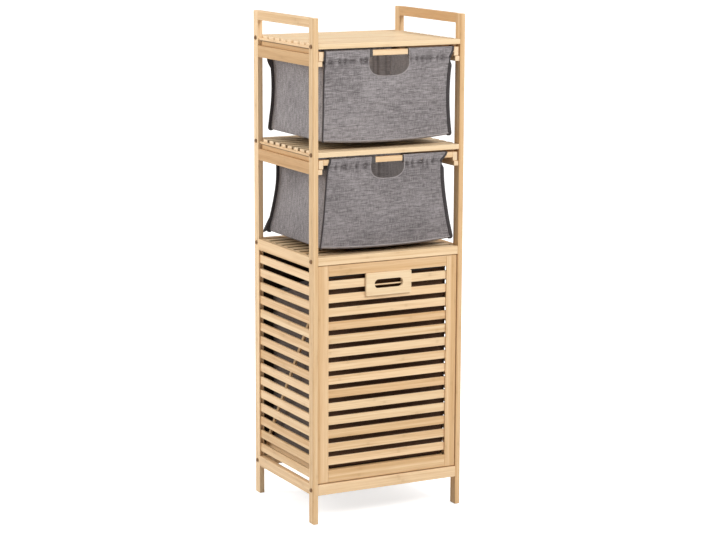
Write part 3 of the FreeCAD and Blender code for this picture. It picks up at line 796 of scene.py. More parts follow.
@dataclass(frozen=True)
class PlainFinish:
    """Board, plastic or metal with a faint grain."""

    label: str
    light: Colour
    deep: Colour
    rough: tuple[float, float]
    fineness: tuple[float, float, float]
    metal: float = 0.0
    relief: float = 0.0002
    relief_share: float = 0.4

    def material(self, effects: Effects) -> bpy.types.Material:
        """The finish, on object coordinates.

        Args:
            effects: The shared effects.

        Returns:
            The material, made on first use.
        """
        name = f"{self.label}_finish"
        if name in bpy.data.materials:
            return bpy.data.materials[name]
        material, w, shader = empty_material(name)
        place = w.put("ShaderNodeTexCoord").outputs["Object"]
        spot = w.put("ShaderNodeMapping", {"Vector": place, "Scale": self.fineness}).outputs[0]
        low, high = self.rough
        inputs = {"Spot": spot, "Light": self.light, "Deep": self.deep, "Low": low, "High": high}
        grain = w.put("ShaderNodeGroup", inputs, node_tree=effects.fine)
        join_effect(w, shader, grain, self.relief_share, self.relief)
        set_sockets(shader, {"Metallic": self.metal})
        return material


BAMBOO = BambooFinish("bamboo", (0.87, 0.66, 0.415), (0.67, 0.435, 0.215), (0.42, 0.24, 0.10))
PALE_BAMBOO = BambooFinish("pale_bamboo", (0.87, 0.70, 0.47), (0.79, 0.58, 0.34), (0.55, 0.34, 0.16))
WARM_BAMBOO = BambooFinish("warm_bamboo", (0.68, 0.45, 0.235), (0.53, 0.325, 0.15), (0.36, 0.20, 0.09))
UPPER_CLOTH = ClothFinish("upper_cloth", (0.413, 0.380, 0.383), (0.114, 0.101, 0.103), 3.3, 0.15, drift=0.3)
LOWER_CLOTH = ClothFinish("lower_cloth", (0.382, 0.350, 0.353), (0.104, 0.092, 0.094), 3.3, 0.15, drift=0.4)
# The lining glows: painted light that brightens the inside of the bins.
LINING = ClothFinish("glowing_lining", (0.66, 0.61, 0.60), (0.30, 0.275, 0.27), 2.8, 0.1, 0.20)
EDGE_CLOTH = ClothFinish("edge_cloth", (0.50, 0.46, 0.455), (0.24, 0.22, 0.22), 1.6, 0.15)
BINDING = ClothFinish("binding", (0.085, 0.076, 0.078), (0.035, 0.03, 0.031), 1.5, 0.1)
# Dark cloth for the thread, and for the bands of painted shade inside the sleeves' ends.
THREAD_AND_SHADE_CLOTH = ClothFinish("thread_and_shade_cloth", (0.13, 0.12, 0.118), (0.06, 0.055, 0.054), 1.6, 0.1)
# The bag's shade tint is brown: painted shade that also carries the brown of light bounced off the bamboo.
BAG_CLOTH = ClothFinish(
    "bag_cloth", (0.225, 0.186, 0.168), (0.098, 0.077, 0.066), 2.0, 0.05, sunk=(0.52, 0.28, 0.12)
)
DARK_BOARD = PlainFinish(
    "dark_board", (0.060, 0.036, 0.022), (0.038, 0.021, 0.012), (0.55, 0.8), (900.0, 90.0, 900.0)
)
FIBREBOARD = PlainFinish(
    "fibreboard", (0.20, 0.13, 0.08), (0.12, 0.075, 0.045), (0.6, 0.85), (320.0, 320.0, 320.0)
)
DARK_PLASTIC = PlainFinish(
    "dark_plastic", (0.03, 0.028, 0.028), (0.02, 0.018, 0.018), (0.35, 0.5), (700.0, 700.0, 700.0)
)
STEEL_RELIEF = 0.00005
BRIGHT_STEEL = PlainFinish(
    "bright_steel",
    (0.62, 0.61, 0.59),
    (0.48, 0.47, 0.46),
    (0.22, 0.4),
    (60.0, 900.0, 900.0),
    metal=1.0,
    relief=STEEL_RELIEF,
)
DARK_BOLT = PlainFinish(
    "dark_bolt",
    (0.33, 0.19, 0.09),
    (0.20, 0.11, 0.05),
    (0.5, 0.7),
    (800.0, 800.0, 800.0),
    relief=STEEL_RELIEF,
)


# The rigid sticks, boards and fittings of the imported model


def even_shading(piece: bpy.types.Object) -> None:
    """Let a piece's large faces set the shading of its rounded edges."""
    piece.modifiers.new("even_shading", "WEIGHTED_NORMAL").keep_sharp = False


def put_on(node: str, material: bpy.types.Material) -> bpy.types.Object:
    """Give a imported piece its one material.

    Args:
        node: Name of the piece.
        material: What it is made of.

    Returns:
        The piece.
    """
    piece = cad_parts[node]
    piece.data.materials.clear()
    piece.data.materials.append(material)
    LOG.info("dressed %s", node)
    return piece


def dress_stick(node: str, material: bpy.types.Material) -> None:
    """Give a packed stick its material, and ease its edges with live modifiers: weld its triangles, clear
    the flat faces, round the edges.

    Args:
        node: Name of the piece.
        material: What it is made of.
    """
    piece = put_on(node, material)
    weld = piece.modifiers.new("weld", "WELD")
    weld.merge_threshold = STOCK_WELD
    clear = piece.modifiers.new("flat_faces", "DECIMATE")
    clear.decimate_type = "DISSOLVE"
    clear.angle_limit = FLAT_ANGLE
    soft = piece.modifiers.new("eased_edges", "BEVEL")
    soft.width = STOCK_EASE
    soft.segments = EASE_SEGMENTS
    soft.limit_method = "ANGLE"
    soft.angle_limit = SHARP_ANGLE
    soft.use_clamp_overlap = False
    even_shading(piece)


@dataclass
class SlatRow:
    """Upright slats one above the other, with rounded edges, let into the sticks at their ends."""

    stick: Stick
    body: str
    height: float
    ease: float = 0.0012
    turn_points: int = 5
    lip: float = 0.003

    def section(self, half_thick: float) -> Array:
        """A slat's section, a closed rounded rectangle: points through the slat and up it."""
        ring = rounded_box(half_thick, self.height / 2, self.ease, self.turn_points)
        return np.concatenate([ring, ring[:1]])

    def levels(self) -> Array:
        """Heights of the slats' middles: one in each pitch of the row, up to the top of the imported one.

        Returns:
            The heights, lowest first.
        """
        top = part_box(self.stick.node)[1].z
        count = int((top - self.stick.start) / self.stick.pitch) + 1
        return self.stick.start + (np.arange(count) + 0.5) * self.stick.pitch

    def surfaces(self, levels: Array) -> list[Patch]:
        """The slats: the section carried straight from end to end, and drawn in to a point at both ends.

        Args:
            levels: Heights of their middles.

        Returns:
            One closed surface for each slat.
        """
        low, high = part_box(self.stick.node)
        along, up, through = self.stick.grain.value
        ring = self.section((high[through] - low[through]) / 2)
        size = np.array([0.0, 1.0, 1.0, 0.0])[:, None]
        points = np.zeros((len(levels), 4, len(ring), 3))
        points[..., along] = np.array([low[along], low[along], high[along], high[along]])[:, None]
        points[..., through] = (low[through] + high[through]) / 2 + size * ring[:, 0]
        points[..., up] = levels[:, None, None] + size * ring[:, 1]
        return [Patch(grid, grid[..., (along, up)]) for grid in points]

    def build(self, material: bpy.types.Material, grip: "HandlePlate | None" = None) -> None:
        """Make the row, and fix it to its body.

        Args:
            material: The slats' finish.
            grip: The handle plate, where the top slat is cut away behind its hole.
        """
        levels = self.levels()
        if grip is None:
            patches = self.surfaces(levels)
        else:
            cut_slat = grip.slat_behind(self.stick.node, levels[-1], self.height, self.lip)
            patches = [*self.surfaces(levels[:-1]), cut_slat]
        row = new_piece(f"{self.stick.node}_eased", patches)
        row.data.materials.append(material)
        even_shading(row)
        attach(row, self.body)
        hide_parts(self.stick.node)
        LOG.info("built %s", row.name)


@dataclass
class Carcass:
    """The posts, rails, shelves and side slats. Tones set the rails apart, and each shelf has painted shade
    along its slats' long edges, for the shade in the gaps between them."""

    RAIL_TONES: ClassVar[dict[str, float]] = {
        "handle": 0.2,
        "top": 0.0,
        "middle": -0.1,
        "lower": 0.25,
        "bottom": 0.1,
    }
    # Painted shade along each shelf's slat edges, strongest on the lowest shelf under the bins.
    GAP_SHADES: ClassVar[dict[str, float]] = {"top_shelf": 0.15, "middle_shelf": 0.4, "lower_shelf": 0.75}
    FITTINGS: ClassVar[dict[str, PlainFinish]] = {
        "back_panel": DARK_BOARD,
        "catch_magnet": DARK_PLASTIC,
        "hinge_pins": BRIGHT_STEEL,
    }

    panel_slat: float = 0.0204
    panel_pitch: float = 0.03397
    panel_start: float = 0.1017
    shelf_pitch: float = 0.0335
    shelf_start: float = -0.139
    right_tone: float = 0.35
    slat_tone: float = -0.1
    batten_tone: float = 0.4
    seed_start: float = 3.0
    seed_step: float = 17.0

    def sticks(self) -> list[Stick]:
        """Every bamboo node of the carcass with its grain.

        Returns:
            The sticks, posts first.
        """
        found = [Stick(f"{side}_{end}_post", Grain.Z_ACROSS_Y) for side in Side for end in End]
        for side in Side:
            warm = self.right_tone if side is Side.RIGHT else 0.0
            for rail, tone in self.RAIL_TONES.items():
                found.append(Stick(f"{side}_{rail}_rail", Grain.Y_ACROSS_Z, tone=tone + warm))
            found.append(Stick(f"{side}_side_slats", Grain.Y_ACROSS_Z, self.panel_pitch, self.panel_start))
        row = (Grain.X_ACROSS_Y, self.shelf_pitch, self.shelf_start)
        pair = (Grain.Y_ACROSS_X, PAIR_PITCH, -PAIR_PITCH)
        for shelf, gap_shade in self.GAP_SHADES.items():
            found.append(Stick(f"{shelf}_slats", *row, tone=self.slat_tone, gap_shade=gap_shade))
            joint = 0.0 if shelf == "lower_shelf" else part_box(f"{shelf}_slats")[0].z
            found.append(Stick(f"{shelf}_battens", *pair, tone=self.batten_tone, joint=joint))
            cross = "rail" if shelf == "lower_shelf" else "board"
            found += [Stick(f"{shelf}_{end}_{cross}", Grain.X_ACROSS_Y) for end in End]
        found += [Stick(f"bottom_{end}_rail", Grain.X_ACROSS_Z) for end in End]
        found.append(Stick("tilt_stop_strip", Grain.X_ACROSS_Z))
        return found

    def finish(self, node: str) -> BambooFinish:
        """The finish of a stick: paler for the open shelves, warmer for the rails under them.

        Args:
            node: Name of the stick.

        Returns:
            The finish.
        """
        if node.startswith(("top_shelf", "middle_shelf")) and not node.endswith("battens"):
            return PALE_BAMBOO
        return WARM_BAMBOO if node.endswith(("top_rail", "middle_rail")) else BAMBOO

    def dress(self, effects: Effects) -> None:
        """Dress the carcass.

        Args:
            effects: The shared effects.
        """
        for number, stick in enumerate(self.sticks()):
            seed = self.seed_step * number + self.seed_start
            material = self.finish(stick.node).material(effects, stick, seed)
            if stick.node.endswith("side_slats"):
                SlatRow(stick, "cabinet", self.panel_slat).build(material)
            else:
                dress_stick(stick.node, material)
        for node, finish in self.FITTINGS.items():
            put_on(node, finish.material(effects))


@dataclass
class Bolts:
    """The sixteen frame bolts: domed heads with a six-sided socket, on short shanks."""

    seat: float = 0.2
    row: float = 0.15075
    levels: tuple[float, ...] = (1.1345, 0.8845, 0.63425, 0.083)
    radius: float = 0.005
    rise: float = 0.0034
    socket: float = 0.0021
    deep: float = 0.0024
    shank: float = 0.003
    shank_length: float = 0.03
    foot_share: float = 0.97
    bead: float = 0.0003
    brim: float = 0.0009
    rim_share: float = 1.45
    dome_rings: int = 6
    dome_power: float = 1.6
    mouth_share: float = 1.12
    mouth: float = 0.0003
    floor_dip: float = 0.0004
    corner_share: float = 1.1
    seed: int = 5

    def template(self, sides: int = 48) -> tuple[Array, Array]:
        """One bolt about its own axis: rings that pass from the shank over the dome, then turn from circles
        into hexagons and go down to the socket's floor.

        Args:
            sides: Points round a ring.

        Returns:
            Points (two across, one along the axis) and flat places.
        """
        angle = np.linspace(0.0, 2 * math.pi, sides + 1)
        hexagon = math.cos(math.pi / 6) / np.cos((angle + math.pi / 6) % (math.pi / 3) - math.pi / 6)
        brim, rise, socket = self.brim, self.rise, self.socket
        dome = np.linspace(0.0, 1.0, self.dome_rings + 1)[1:]
        dome_size = blend(self.radius, socket * self.rim_share, dome**self.dome_power)
        radius, foot = self.radius, self.radius * self.foot_share
        rings = [(0.0, -self.shank_length, 0), (self.shank, -self.shank_length, 0), (self.shank, 0.0, 0)]
        rings += [(foot, 0.0, 0), (radius, self.bead, 0), (radius, brim, 0)]
        rings += [(r, brim + (rise - brim) * math.sin(t * math.pi / 2), 0) for t, r in zip(dome, dome_size)]
        rings += [(socket * self.mouth_share, rise, 1), (socket, rise - self.mouth, 1)]
        rings += [(socket, rise - self.deep, 1), (0.0, rise - self.deep - self.floor_dip, 1)]
        size, level, six = (np.array(part, float) for part in zip(*rings))
        reach = size[:, None] * np.where(six[:, None] > 0, hexagon[None] * self.corner_share, 1.0)
        up = np.repeat(level[:, None], sides + 1, 1)
        points = np.stack([reach * np.cos(angle), reach * np.sin(angle), up], -1)
        flat = np.stack(np.meshgrid(angle, level), -1)
        return points, flat

    def build(self, effects: Effects) -> None:
        """Set the bolts in their posts.

        Args:
            effects: The shared effects.
        """
        facings = [[side.facing for side in Side], [end.facing for end in End]]
        grid = np.meshgrid(*facings, self.levels, indexing="ij")
        sign, end, level = (axis.ravel() for axis in grid)
        places = np.stack([sign * self.seat, end * self.row, level], 1)
        out = np.stack([sign, 0 * sign, 0 * sign], 1)
        turn = np.random.default_rng(self.seed).uniform(0.0, 2 * math.pi, len(sign))
        first = np.stack([0 * turn, np.cos(turn), np.sin(turn)], 1)
        points, flat = self.template()
        heads = copies(points, flat, places, first, np.cross(out, first), out)
        piece = new_piece("bolt_heads", heads, weld=FINE_WELD)
        piece.data.materials.append(DARK_BOLT.material(effects))
        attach(piece, "cabinet")
        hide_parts("frame_bolts")
        LOG.info("built %s", piece.name)


# Soft goods


@dataclass(frozen=True)
class Tail:
    """A loose ear of tape that stands out from a rear seam between two drops, widening and narrowing
    again."""

    side: Side
    high: float
    low: float
    reach: float
    aim: tuple[float, float, float]
    swell: float
    taper: float


@dataclass(frozen=True)
class BinForm:
    """How one bin hangs: places of its four upright seams at several drops below the bar, its cuts, how far
    its foot sags and how much painted shade darkens it there, and its loose ears of tape."""

    drops: tuple[float, ...]
    front_left: tuple[float, ...]
    front_right: tuple[float, ...]
    rear_left: tuple[float, ...]
    rear_right: tuple[float, ...]
    front_y: tuple[float, ...]
    rear_y: tuple[float, ...]
    hem_ends: tuple[float, float]
    grip_ends: tuple[float, float]
    cut_ends: tuple[float, float]
    cut_drop: float
    sag: float
    foot_shade: float
    tails: tuple[Tail, ...]


UPPER_FORM = BinForm(
    drops=(0.0240, 0.060, 0.105, 0.150, 0.185, 0.2105),
    front_left=(-0.1695, -0.1695, -0.1690, -0.1680, -0.1675, -0.1675),
    front_right=(0.1605, 0.1572, 0.1566, 0.1595, 0.1640, 0.1680),
    rear_left=(-0.1630, -0.1590, -0.1572, -0.1595, -0.1645, -0.1680),
    rear_right=(0.1660, 0.1630, 0.1615, 0.1630, 0.1660, 0.1680),
    front_y=(-0.1605, -0.1575, -0.1540, -0.1505, -0.1478, -0.1463),
    rear_y=(0.1400, 0.1380, 0.1373, 0.1371, 0.1368, 0.1363),
    hem_ends=(-0.1690, 0.1690),
    grip_ends=(-0.0450, 0.0485),
    cut_ends=(-0.0560, 0.0525),
    cut_drop=0.0615,
    sag=0.0072,
    foot_shade=0.04,
    tails=(
        Tail(Side.LEFT, 0.036, 0.076, 0.022, (-0.85, 0.5, 0.12), 0.3, 1.1),
        Tail(Side.RIGHT, 0.036, 0.070, 0.016, (0.8, 0.6, 0.1), 0.3, 1.1),
    ),
)
LOWER_FORM = BinForm(
    drops=(0.0190, 0.051, 0.096, 0.133, 0.171, 0.199, 0.2105),
    front_left=(-0.1605, -0.1630, -0.1655, -0.1672, -0.1700, -0.1725, -0.1740),
    front_right=(0.1395, 0.1412, 0.1470, 0.1545, 0.1635, 0.1720, 0.1750),
    rear_left=(-0.1460, -0.1455, -0.1475, -0.1540, -0.1630, -0.1710, -0.1738),
    rear_right=(0.1540, 0.1550, 0.1580, 0.1620, 0.1675, 0.1720, 0.1740),
    front_y=(-0.1600, -0.1580, -0.1555, -0.1530, -0.1500, -0.1472, -0.1463),
    rear_y=(0.1395, 0.1370, 0.1364, 0.1364, 0.1364, 0.1364, 0.1363),
    hem_ends=(-0.1550, 0.1545),
    grip_ends=(-0.0365, 0.0355),
    cut_ends=(-0.0498, 0.0400),
    cut_drop=0.0515,
    sag=0.0070,
    foot_shade=0.22,
    tails=(Tail(Side.LEFT, 0.158, 0.206, 0.031, (-0.12, 0.9, -0.42), 0.6, 0.05),),
)


@dataclass
class FabricBin:
    """A sewn cloth bin whose front and rear hems are sleeves round the drawer's cross bars."""

    WAVES: ClassVar[tuple[float, ...]] = (0.0135, 0.0185, 0.029, 0.051)
    FOLDS: ClassVar[tuple[float, ...]] = (0.0125, 0.0175, 0.030)
    # Size of each slack wave, and its turn across and down a panel.
    SLACK: ClassVar[tuple[tuple[float, float, float], ...]] = (
        (1.0, 2.1 * math.pi, 1.2),
        (0.7, 5.2, 6.1),
        (0.45, 11.0, -7.0),
        (0.3, 17.0, 13.0),
    )
    SLACK_SEEDS: ClassVar[dict[Side | End, int]] = {End.FRONT: 3, End.REAR: 4, Side.LEFT: 7, Side.RIGHT: 8}
    FOLD_SEED: ClassVar[int] = 11
    # Places along a stitch, and its thickness there.
    STITCH_ALONG: ClassVar[tuple[float, ...]] = (-1.0, -0.85, 0.0, 0.85, 1.0)
    STITCH_SIZE: ClassVar[tuple[float, ...]] = (0.0, 0.7, 1.0, 0.7, 0.0)

    drawer: str
    form: BinForm
    finish: ClothFinish
    seed: int
    wall: float = 0.0012
    foot_round: float = 0.005
    hem_columns: int = 42
    cut_columns: int = 64
    rows: int = 44
    arc_rows: int = 6
    side_columns: int = 46
    loop_points: int = 40
    sag_powers: tuple[float, float] = (2.2, 1.5)
    slack_powers: tuple[float, float] = (0.7, 0.8)
    cut_power: float = 0.69
    cut_tuck: float = 0.001
    pucker: float = 0.0042
    pucker_fade: float = 0.05
    pucker_reach: float = 0.015
    groove: float = 0.0014
    groove_reach: float = 0.003
    seam_fade: float = 0.03
    # Painted shade beside the stitch lines: where it lies in the puckers' hollows, its strength and its
    # reach.
    hollow: tuple[float, float] = (0.5, 1.2)
    crease_shade: float = 0.95
    crease_reach: float = 0.0078
    billow: float = 0.0026
    side_billow: float = 0.0015
    side_dip: float = 0.006
    fold: float = 0.003
    fold_power: float = 0.4
    fold_decay: float = 1.2
    # Painted shade in the hollows of the rear panel's folds.
    fold_shade: tuple[float, float, float] = (0.3, 0.9, 0.8)
    sleeve_skin: float = 0.0017
    sleeve_ease: float = 0.0022
    sleeve_lift: float = 0.0014
    sleeve_slope: float = 0.004
    sleeve_feet: tuple[float, float] = (0.002, 0.003)
    sleeve_gap: float = 0.0028
    sleeve_bulge: float = 0.0004
    sleeve_pucker: float = 0.012
    drawn_reach: float = 0.011
    binding_reach: float = 0.0046
    binding_half: float = 0.0017
    binding_stand: float = 0.0028
    binding_turn: float = 0.3
    binding_start: float = 0.004
    binding_growth: float = 0.014
    binding_least: float = 0.25
    tucked_share: float = 0.45
    sleeve_tape: tuple[float, float] = (0.0028, 0.0011)
    edging: float = 0.0012
    edging_aim: tuple[float, float, float] = (0.0, -1.0, 0.2)
    edging_sides: int = 10
    # The bands of painted shade inside the sleeves' ends.
    cuff_skins: tuple[float, float] = (0.0012, 0.0005)
    cuff_tuck: float = 0.004
    cuff_round: float = 0.001
    cuff_drop: float = 0.003
    cuff_points: int = 30
    cuff_columns: int = 5
    ear_grid: tuple[int, int] = (24, 8)
    ear_fullness: float = 1.3
    stitch_pitch: float = 0.0044
    stitch_half: float = 0.0015
    thread_half: float = 0.0003
    thread_sides: int = 6

    def __post_init__(self) -> None:
        """Read the bars that carry the bin."""
        self.bars = {end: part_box(f"{self.drawer}_drawer_{end}_bar") for end in End}
        self.top = self.bars[End.FRONT][1].z
        self.stitch = self.form.drops[0]
        self.end = self.form.drops[-1] - self.foot_round
        self.run = np.linspace(0.0, 1.0, self.rows)

    def read(self, name: str, drop: Array) -> Array:
        """One seam coordinate at the given drops."""
        return smooth_curve(self.form.drops, getattr(self.form, name), drop)

    def seam(self, side: Side, end: End) -> Array:
        """An upright seam: straight reads of its form, then a quarter turn inwards at the foot.

        Args:
            side: Left or right.
            end: Front or rear.

        Returns:
            Points from the stitch line to the foot.
        """
        drop = blend(self.stitch, self.end, self.run)
        x, y = self.read(f"{end}_{side}", drop), self.read(f"{end}_y", drop)
        angle = np.linspace(0.0, math.pi / 2, self.arc_rows + 1)[1:]
        inwards = self.foot_round * (1 - np.cos(angle))
        x = np.concatenate([x, x[-1] - inwards * side.facing])
        y = np.concatenate([y, y[-1] - inwards * end.facing])
        z = np.concatenate([self.top - drop, self.top - self.end - self.foot_round * np.sin(angle)])
        return np.stack([x, y, z], 1)

    def sagged(self, share: Array, depth: Array) -> Array:
        """How far the foot hangs below its corners: most in the middle, and more towards the foot."""
        across, down = self.sag_powers
        return self.form.sag * (1 - np.abs(2 * share - 1) ** across) * depth**down

    def top_edge(self) -> tuple[Array, Array]:
        """The front panel's upper edge: the stitch line, broken by a rounded dip for the hand, which is a
        superellipse.

        Returns:
            Share of the panel's width and drop at each column.
        """
        left, right = self.form.cut_ends
        middle, half = (left + right) / 2, (right - left) / 2
        angle = np.linspace(math.pi, 0.0, self.cut_columns + 2)[1:-1]
        dip = self.form.cut_drop - self.stitch
        dip_x = middle + half * np.sign(np.cos(angle)) * np.abs(np.cos(angle)) ** self.cut_power
        dip_drop = self.stitch + dip * np.abs(np.sin(angle)) ** self.cut_power
        low, high = (self.read(f"front_{side}", np.array([self.stitch]))[0] for side in Side)
        hem_left = np.linspace(low, left, self.hem_columns)
        hem_right = np.linspace(right, high, self.hem_columns)
        x = np.concatenate([hem_left, dip_x, hem_right])
        hem_drop = np.full(self.hem_columns, self.stitch)
        drop = np.concatenate([hem_drop, dip_drop, hem_drop])
        near, far = self.read("front_left", drop), self.read("front_right", drop)
        return (x - near) / (far - near), drop

    def gather(self, x: Array, share: Array) -> Array:
        """Puckers along the stitch line, dying out at the seams."""
        fade = edge_fade(share, self.pucker_fade)
        return self.pucker * fade * ripple(x, self.seed, self.WAVES)

    def crease(self, x: Array, share: Array, away: Array) -> Array:
        """Painted shade beside the stitch line: most in the hollows of the puckers.

        Args:
            x: Places along the stitch line.
            share: Their width shares.
            away: Distances from the stitch line.

        Returns:
            The shade of the creases.
        """
        middle, steep = self.hollow
        hollow = np.clip(middle - steep * ripple(x, self.seed, self.WAVES), 0.0, 1.0)
        near = np.exp(-((away / self.crease_reach) ** 2))
        return self.crease_shade * edge_fade(share, self.seam_fade) * hollow * near

    def slack(self, share: Array, depth: Array, panel: Side | End) -> Array:
        """Soft waves of a slack panel, none at its edges: slow sines of width and height.

        Args:
            share: Width shares.
            depth: Shares of the height.
            panel: Where the panel is, which sets its waves apart.

        Returns:
            The waves.
        """
        seed = self.seed + self.SLACK_SEEDS[panel]
        phases = np.random.default_rng(seed).uniform(0.0, 2 * math.pi, len(self.SLACK))
        rows = zip(self.SLACK, phases)
        waves = [size * np.sin(wide * share + tall * depth + phase) for (size, wide, tall), phase in rows]
        across, down = self.slack_powers
        still = np.sin(math.pi * np.clip(depth, 0.0, 1.0)) ** down
        return ((waves[0] + waves[1]) + (waves[2] + waves[3])) * np.sin(math.pi * share) ** across * still

    def upright_panel(self, end: End, share_top: Array, drop_top: Array, share_foot: Array) -> Patch:
        """The front or rear panel: each column runs from the top edge to the foot between the two seams, with
        puckers below the stitch line, slack waves, hanging folds at the rear, and a foot that sags; painted
        shade lies in the puckers' hollows, in the rear folds and towards the foot.

        Args:
            end: Front or rear.
            share_top: Width share of each column at the top edge.
            drop_top: Drop of the top edge at each column.
            share_foot: Width share of each column at the foot.

        Returns:
            The panel.
        """
        out = end.facing
        run = self.run[:, None]
        drop = blend(drop_top[None], self.end, run)
        share = blend(share_top[None], share_foot[None], run)
        x = blend(self.read(f"{end}_left", drop), self.read(f"{end}_right", drop), share)
        y = self.read(f"{end}_y", drop)
        below = drop - self.stitch
        depth = below / (self.end - self.stitch)
        y = y + out * self.gather(x, share) * np.exp(-below / self.pucker_reach)
        dent = np.exp(-((below / self.groove_reach) ** 2))
        y = y - out * self.groove * dent * edge_fade(share, self.seam_fade)
        y = y + out * self.billow * self.slack(share, depth, end)
        # Painted shade: darker towards the foot, and in the puckers' hollows beside the stitch line.
        low_shade = self.form.foot_shade * np.clip(depth, 0.0, 1.0) ** 2
        sunk = np.maximum(self.crease(x, share, below), low_shade)
        if end is End.REAR:
            folds = ripple(x, self.seed + self.FOLD_SEED, self.FOLDS)
            folds = folds * np.sin(math.pi * share) ** self.fold_power * np.exp(-self.fold_decay * depth)
            y = y + out * self.fold * folds
            # Painted shade in the hollows of the hanging folds.
            middle, steep, most = self.fold_shade
            sunk = np.maximum(sunk, np.clip(middle + steep * folds, 0.0, most))
        z = self.top - drop - self.sagged(share, depth)
        body = np.stack([x, y, z], -1)
        left, right = (self.seam(side, end) for side in Side)
        foot = blend(left[self.rows :, None], right[self.rows :, None], share_foot[None, :, None])
        foot[..., 2] -= self.sagged(share_foot, np.ones(1))
        points = np.concatenate([body, foot])
        # The turn at the foot takes the full painted shade.
        foot_shade = np.full(foot.shape[:2], self.form.foot_shade)
        return Patch(points, points[..., (0, 2)], np.concatenate([sunk, foot_shade]))

    def sleeve_loop(self, bar: tuple[Vector, Vector], stitch_y: float, out: float) -> Array:
        """The hem's path round a bar: up from the seam on the inside, over the bar, down to the stitch line.

        Args:
            bar: Low and high corner of the bar.
            stitch_y: Where the stitch line lies.
            out: Which way the panel faces, along Y.

        Returns:
            Rows of Y and Z.
        """
        skin, ease, slope = self.sleeve_skin, self.sleeve_ease, self.sleeve_slope
        inner_foot, outer_foot = self.sleeve_feet
        near = (bar[0].y if out < 0 else bar[1].y) + out * skin
        far = (bar[1].y if out < 0 else bar[0].y) - out * skin
        high, low = bar[1].z + self.sleeve_lift, bar[0].z
        level = self.top - self.stitch
        corners = [(stitch_y - out * self.sleeve_gap, level), (far + out * slope, low - slope)]
        corners += [(far, low + inner_foot), (far, high - ease), (far, high), (far + out * ease, high)]
        corners += [(near - out * ease, high), (near, high), (near, high - ease), (near, low + outer_foot)]
        corners += [(stitch_y + out * self.sleeve_bulge, level + slope), (stitch_y, level)]
        return even_path(round_path(np.array(corners)), self.loop_points)

    def sleeve(self, end: End, share: Array, bar_x: Array) -> Patch:
        """A hem sleeve: its loop carried along the bar, drawn in at the ends, puckered towards the stitch
        line.

        Args:
            end: Front or rear.
            share: Width share of each column at the stitch line.
            bar_x: Place of each column on the bar.

        Returns:
            The sleeve.
        """
        out = end.facing
        at = np.array([self.stitch])
        low, high = self.read(f"{end}_left", at)[0], self.read(f"{end}_right", at)[0]
        loop = self.sleeve_loop(self.bars[end], self.read(f"{end}_y", at)[0], out)
        length = path_length(loop)
        from_stitch = np.minimum(length, length[-1] - length)
        drawn = np.exp(-((from_stitch / self.drawn_reach) ** 2))[:, None]
        line = blend(low, high, share)
        x = blend(bar_x[None], line[None], drawn)
        to_end = (length[-1] - length)[:, None]
        dent = np.exp(-((to_end / self.groove_reach) ** 2))
        y = loop[:, :1] + out * self.gather(line, share)[None] * np.exp(-to_end / self.sleeve_pucker)
        y = y - out * self.groove * dent * edge_fade(share, self.seam_fade)[None]
        z = np.repeat(loop[:, 1:], len(share), axis=1)
        flat = np.stack([x, np.repeat(length[:, None], len(share), axis=1)], -1)
        # The sleeve carries painted shade in the puckers' hollows next to the stitch line.
        return Patch(np.stack([x, y, z], -1), flat, self.crease(line[None], share[None], to_end))

    def side_panel(self, side: Side) -> Patch:
        """A side panel: the straight sheet between its two seams, bowed by its slack, its upper edge
        dipping.

        Args:
            side: Left or right.

        Returns:
            The panel.
        """
        share = np.linspace(0.0, 1.0, self.side_columns)[None]
        front, rear = (self.seam(side, end) for end in End)
        points = blend(front[:, None], rear[:, None], share[..., None])
        depth = np.concatenate([self.run, np.ones(self.arc_rows)])[:, None]
        points[..., 0] += side.facing * self.side_billow * self.slack(share, depth, side)
        points[..., 2] -= self.side_dip * 4 * share * (1 - share) * (1 - depth) ** 3
        # Painted shade, darker towards the foot.
        return Patch(points, points[..., (2, 1)], self.form.foot_shade * depth**2)

    def bottom_panel(self, share_foot: Array, rows: int = 30) -> Patch:
        """The bottom: the straight sheet between the front and rear feet, sagging across its width.

        Args:
            share_foot: Width share of each column.
            rows: Rows from front to rear.

        Returns:
            The panel.
        """
        run = np.linspace(0.0, 1.0, rows)[:, None, None]
        feet = [[self.seam(side, end)[-1] for side in Side] for end in End]
        front, rear = (blend(left, right, share_foot[:, None]) for left, right in feet)
        points = blend(front[None], rear[None], run)
        points[..., 2] -= self.sagged(share_foot, np.ones(1))
        # The bottom takes the full painted shade of the foot.
        return Patch(points, points[..., (0, 1)], self.form.foot_shade)

    def cloth_patches(self) -> dict[str, Patch]:
        """All panels and sleeves.

        Returns:
            Each one's surface, by name.
        """
        share, drop = self.top_edge()
        foot = np.linspace(0.0, 1.0, len(share))
        level = np.full(len(share), self.stitch)
        hem = self.hem_columns
        (hem_left, hem_right), (cut_left, cut_right) = self.form.hem_ends, self.form.cut_ends
        left_x = np.linspace(hem_left, cut_left + self.cut_tuck, hem)
        right_x = np.linspace(cut_right - self.cut_tuck, hem_right, hem)
        rear_x = np.linspace(hem_left, hem_right, len(share))
        return {
            "front": self.upright_panel(End.FRONT, share, drop, foot),
            "rear": self.upright_panel(End.REAR, foot, level, foot),
            "left": self.side_panel(Side.LEFT),
            "right": self.side_panel(Side.RIGHT),
            "bottom": self.bottom_panel(foot),
            "left_sleeve": self.sleeve(End.FRONT, share[:hem], left_x),
            "right_sleeve": self.sleeve(End.FRONT, share[-hem:], right_x),
            "rear_sleeve": self.sleeve(End.REAR, foot, rear_x),
        }

